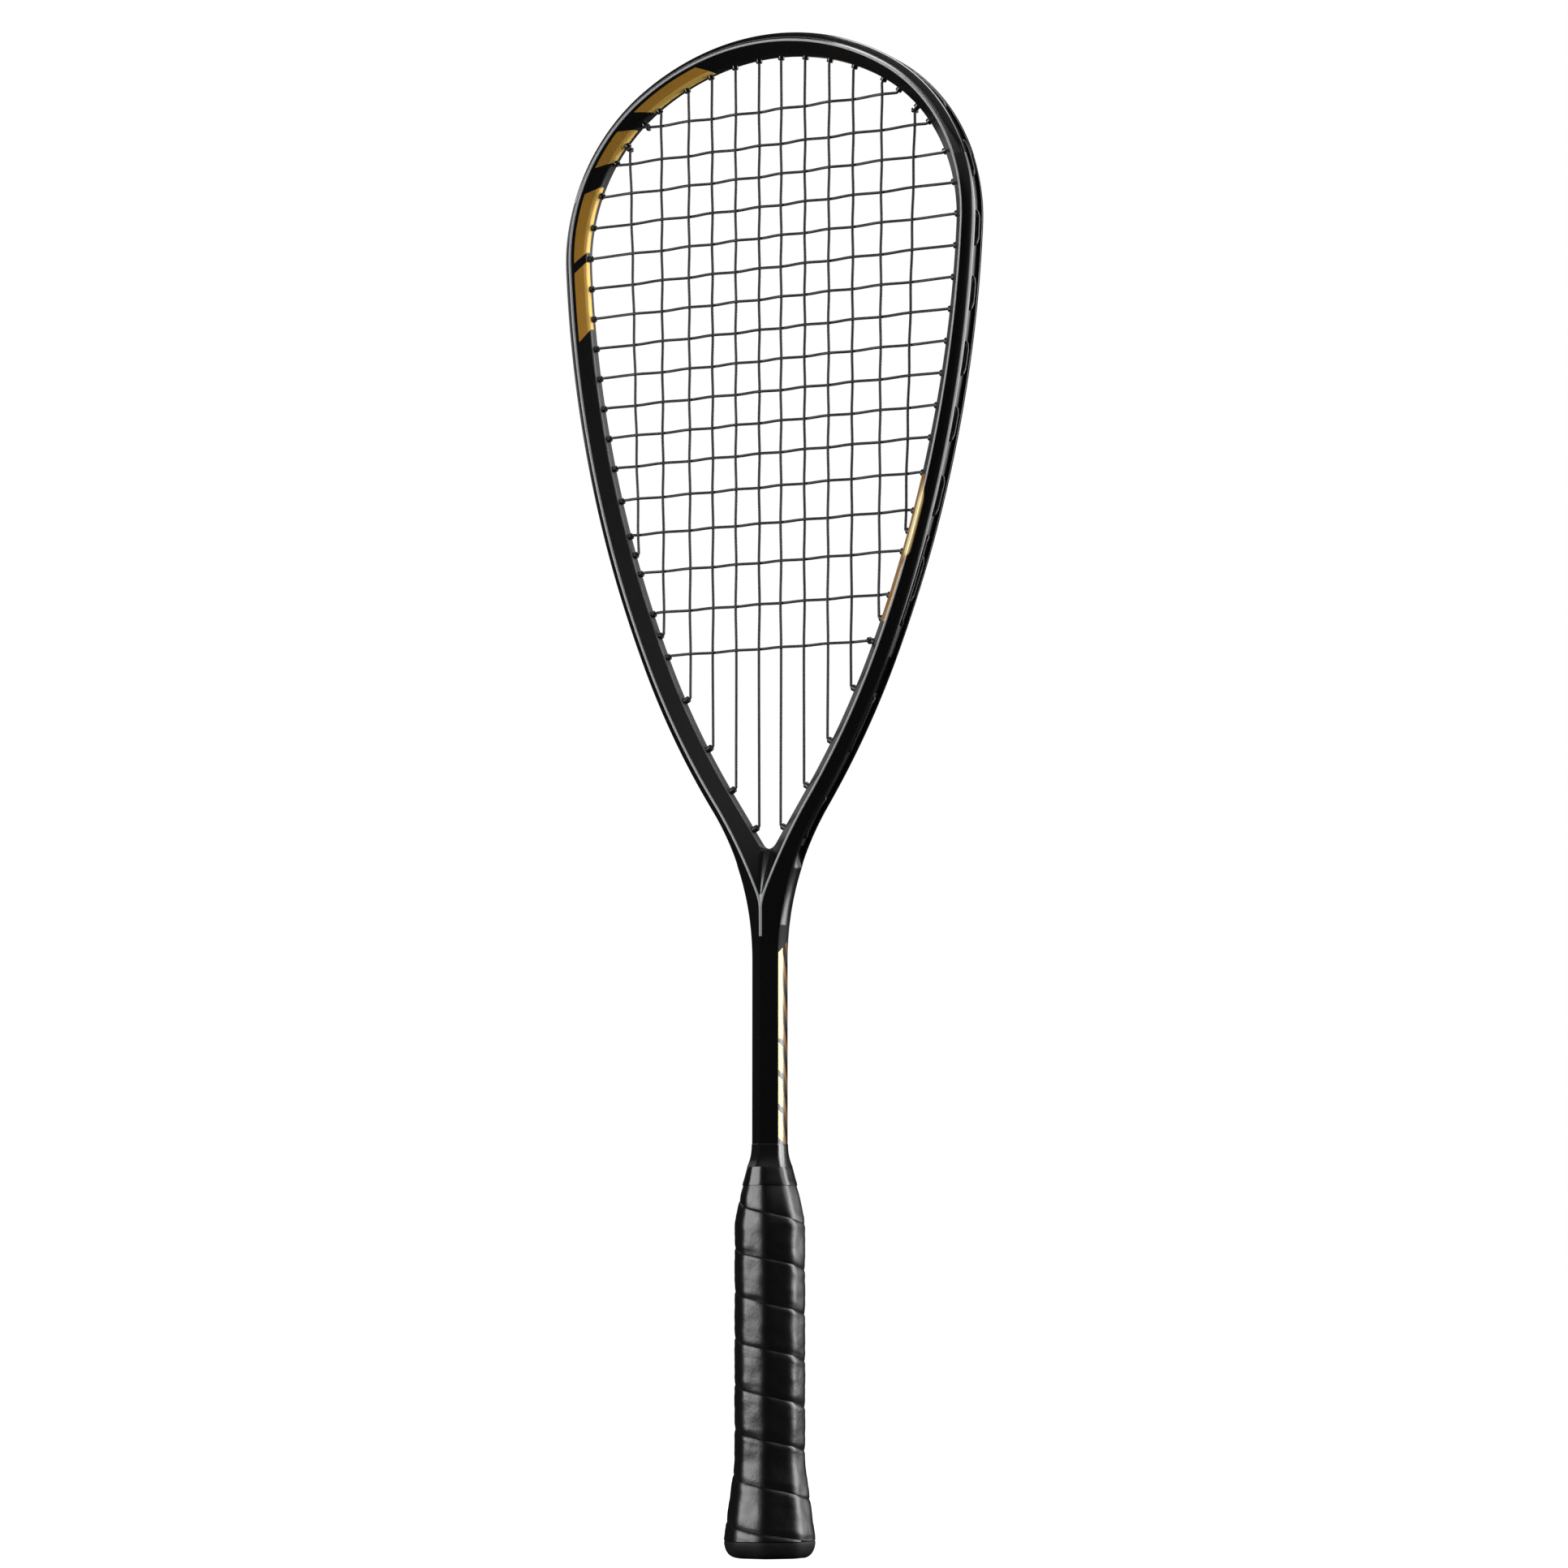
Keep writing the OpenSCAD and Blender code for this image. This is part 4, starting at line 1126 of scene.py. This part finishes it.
def tapeDrop(v, width):  # how far the face lies below its full thickness, v from the lower edge
    low = max(0.0, 1 - v / tape["lowEdge"])
    high = max(0.0, 1 - (width - v) / tape["highEdge"])
    return tape["lowDrop"] * low ** tape["lowCurve"] + tape["highDrop"] * high ** tape["highCurve"]


def wrinkle(t, v):  # soft pull lines that run slantwise over the strip
    return tape["wrinkle"] * sum(math.sin(a * t + b * v + c) for a, b, c in tape["waves"]) / 2


def tapeThick(z):  # the strip thins out towards its upper end
    thinned = ease((z - tape["thinFrom"]) / (tape["high"] - tape["thinFrom"]))
    return lerp(tape["thick"], tape["endThick"], thinned)


def tapeEdge(t):  # height of the strip's lower edge after t turns
    wander = sum(share * math.sin(a * t + b) for share, a, b in tape["wanderWaves"])
    return tape["low"] + tape["pitch"] * (t - 1) + tape["wander"] * wander


def tapeRing(t):
    angle = math.radians(tape["start"] - 360 * t)
    edge, nextEdge = tapeEdge(t), tapeEdge(t + 1) - tape["gap"]
    low, high = max(edge, tape["low"]), min(nextEdge, tape["high"])
    u, v = softPoint(angle, octFaces, handle["softTape"])
    stations = []
    for k in range(tape["across"] + 1):
        share = (1 - math.cos(math.pi * k / tape["across"])) / 2
        z = lerp(low, high, share)
        thick = tapeThick(z)
        grow = tape["fit"] + thick - min(tapeDrop(z - edge, nextEdge - edge), thick - tape["least"])
        grow += wrinkle(t, z - edge) * clamp((tape["thinFrom"] - z) / tape["wrinkleFade"])
        stations.append(coreAt(z, grow))
    stations += [coreAt(z, tape["fit"]) for z in (high, (low + high) / 2, low)]
    return [Vector((hx * u, hy * v, z)) for z, hx, hy in stations]


def makeTape():
    first = (tape["startHeight"] + tape["gap"]) / tape["pitch"]
    last = 1 + (tape["high"] - tape["endHeight"] - tape["low"]) / tape["pitch"]
    count = round((last - first) * tape["rings"])
    return closedBody("gripTape", [tapeRing(t) for t in spread(first, last, count)], tape["sharp"])


def makeTapeFinish():
    material, tree, shader = startMaterial("cushionTape", {"Specular IOR Level": 0.5})
    place = objectPlace(tree)
    grain = Wire.add(tree, "TexVoronoi", {"feature": "SMOOTH_F1"}, {"Vector": place, "Scale": 1100.0})
    wide, fold = noise(place, 55.0, 4.0), noise(place, 190.0, 3.0)
    colour = mixColour(wide * 0.7 + fold * 0.3, (0.0024, 0.0023, 0.0023, 1), (0.006, 0.0058, 0.0055, 1))
    feed(shader, {"Base Color": colour, "Roughness": 0.24 + wide * 0.1 + fold * 0.05,
                        "Normal": bump(grain * 0.03 + fold * 0.3 + wide * 0.8, 0.4, 0.0010)})
    return material


finishPiece(makeTape(), "grip_tape", makeTapeFinish())


# Finishing tape: a thin glossy band over the upper end of the grip
band = {
    "low": 163.0, "high": 171.0, "levels": 8, "clear": 0.15, "thick": 0.4, "edge": 0.12,
    "soft": 16.0, "sharp": 40,
}


def makeBand():
    b, outside, inside = band, [], []
    for z in spread(b["low"], b["high"], b["levels"]):
        under = tape["fit"] + tapeThick(z) + b["clear"]
        edge = b["edge"] if z in (b["low"], b["high"]) else 0.0
        outside.append(coreAt(z, under + b["thick"] - edge))
        inside.append(coreAt(z, under))
    rings = octRings(outside + inside[::-1], b["soft"])
    bm = bmesh.new()
    skinRings(bm, rings + rings[:1])
    return putObject("finishingTape", tidyMesh(bm, "finishingTape", b["sharp"]))


glossBand = makeSkinned("glossBand", (0.004, 0.004, 0.0045), 0.14, 0.15)
finishPiece(makeBand(), "finishing_tape", glossBand)


# Staples stay as they are in the solid model, under the tape
def makeSteel():
    material, tree, shader = startMaterial("stapleWire", {"Metallic": 1.0})
    drawn = noise(stretched(objectPlace(tree), (0.1, 1.0, 1.0)), 3000.0, 2.0)
    colour = mixColour(drawn, (0.50, 0.51, 0.53, 1), (0.66, 0.67, 0.69, 1))
    feed(shader, {"Base Color": colour, "Roughness": 0.25 + drawn * 0.15})
    return material


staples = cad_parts["butt_cap_staples"]
staples.data.materials.clear()
staples.data.materials.append(makeSteel())


# Stage: a pale floor, a white surround, soft boxes and the photograph's viewpoint
studio = {
    "camera": (1.0104, -1.8228, 0.11048), "heading": math.radians(29) - 0.00300762, "pitch": 0.110722,
    "lens": 107.52, "sensor": 36.0, "clip": (0.05, 100.0), "fill": 0.20, "dim": 0.01,
    "whites": (  # direction, edge, softness and strength of each pale zone
        ((0.788, 0.616, 0.05), 0.9, 0.08, 1.0),
        ((0.45, -0.1, 0.89), 0.82, 0.12, 0.25),
        ((-0.47, 0.86, 0.2), 0.97, 0.02, 1.0)),
    "boxes": {  # place, size, radiance and target
        "leftStrip": ((-1.03, -1.42, 0.58), (0.7, 1.3), 10.0, (0, 0, 0.36)),
        "rightStrip": ((1.03, 1.09, 0.58), (0.55, 1.3), 6.0, (0, 0, 0.36)),
        "rightPanel": ((1.30, 0.75, 0.80), (0.9, 1.5), 4.0, (0, 0, 0.36)),
        "sidePanel": ((1.68, 0.22, 0.88), (0.56, 0.55), 3.0, (0.1, 0, 0.55)),
        "topPanel": ((0.30, 0.52, 2.0), (1.2, 0.6), 9.0, (0.3, 0, 0.6)),
        "shoulderPanel": ((1.0, 0.44, 1.73), (0.5, 0.6), 6.0, (0.1, 0, 0.6)),
        "rimPanel": ((-1.39, 0.65, 0.87), (0.7, 0.5), 0.4, (0, 0, 0.36))},
    "floor": (0.28, 0.28, 0.28, 1), "floorMirror": (0.02, 0.02, 0.02, 1), "floorGlow": 0.97,
    "floorHalf": 30.0, "black": (0, 0, 0, 1), "white": (1, 1, 1, 1),
}


def rayKinds(tree):  # 1 for what the camera sees, and 1 for what the object mirrors
    path = Wire.add(tree, "LightPath")
    return path.of("Is Camera Ray"), (path.of("Is Glossy Ray") + path.of("Is Transmission Ray")).capped()


def makeFloor():
    bm = bmesh.new()
    bmesh.ops.create_grid(bm, x_segments=1, y_segments=1, size=studio["floorHalf"])
    mesh = meshFrom(bm, "floor")
    material, tree, shader = startMaterial("paleFloor", {"Roughness": 0.9, "Specular IOR Level": 0.0,
                                                         "Emission Strength": 1.0})
    seen, mirrored = rayKinds(tree)
    tone = mixColour(mirrored, studio["floor"], studio["floorMirror"])
    glow = mixColour(seen * studio["floorGlow"], studio["black"], studio["white"])
    feed(shader, {"Base Color": tone, "Emission Color": glow})
    mesh.materials.append(material)
    floor = putObject("floor", mesh)


def makeWorld():
    world = bpy.data.worlds.new("surround")
    scene.world = world
    world.use_nodes = True
    tree = world.node_tree
    way = Wire.add(tree, "TexCoord", output="Generated")
    zones = []
    for direction, edge, soft, level in studio["whites"]:
        toward = Wire.add(tree, "VectorMath", {"operation": "DOT_PRODUCT"},
                          {0: way, 1: direction}, "Value")
        zones.append(toward.above(edge, soft) * level)
    lit = zones[0]
    for zone in zones[1:]:
        lit = lit.maths("MAXIMUM", zone)
    seen, mirrored = rayKinds(tree)
    white = (seen + mirrored * lit).capped()
    level = studio["fill"] * (1 - mirrored) + studio["dim"] * mirrored
    colour = mixColour(white + level * (1 - white), studio["black"], studio["white"])
    feed(tree.nodes["Background"], {"Color": colour})


def softBox(name, place, size, radiance, target):
    lamp = bpy.data.lights.new(name, "AREA")
    lamp.shape, lamp.size, lamp.size_y = "RECTANGLE", size[0], size[1]
    lamp.energy = radiance * math.pi * size[0] * size[1]
    obj = putObject(name, lamp)
    obj.location = place
    aim = Vector(target) - Vector(place)
    obj.rotation_euler = aim.to_track_quat("-Z", "Y").to_euler()
    obj.visible_camera = False


def makeCamera():
    data = bpy.data.cameras.new("photoCamera")
    data.lens, data.sensor_width, data.sensor_fit = studio["lens"], studio["sensor"], "HORIZONTAL"
    data.clip_start, data.clip_end = studio["clip"]
    obj = putObject("photoCamera", data)
    a, p = studio["heading"], studio["pitch"]
    ahead = Vector((-math.sin(a) * math.cos(p), math.cos(a) * math.cos(p), math.sin(p)))
    right = Vector((math.cos(a), math.sin(a), 0.0))
    up = right.cross(ahead)
    turn = Matrix((right, up, -ahead)).transposed()
    obj.matrix_world = Matrix.Translation(studio["camera"]) @ turn.to_4x4()
    scene.camera = obj


makeFloor()
makeWorld()
for boxName, values in studio["boxes"].items():
    softBox(boxName, *values)
makeCamera()
scene.view_settings.view_transform = "Standard"
print("stage set")
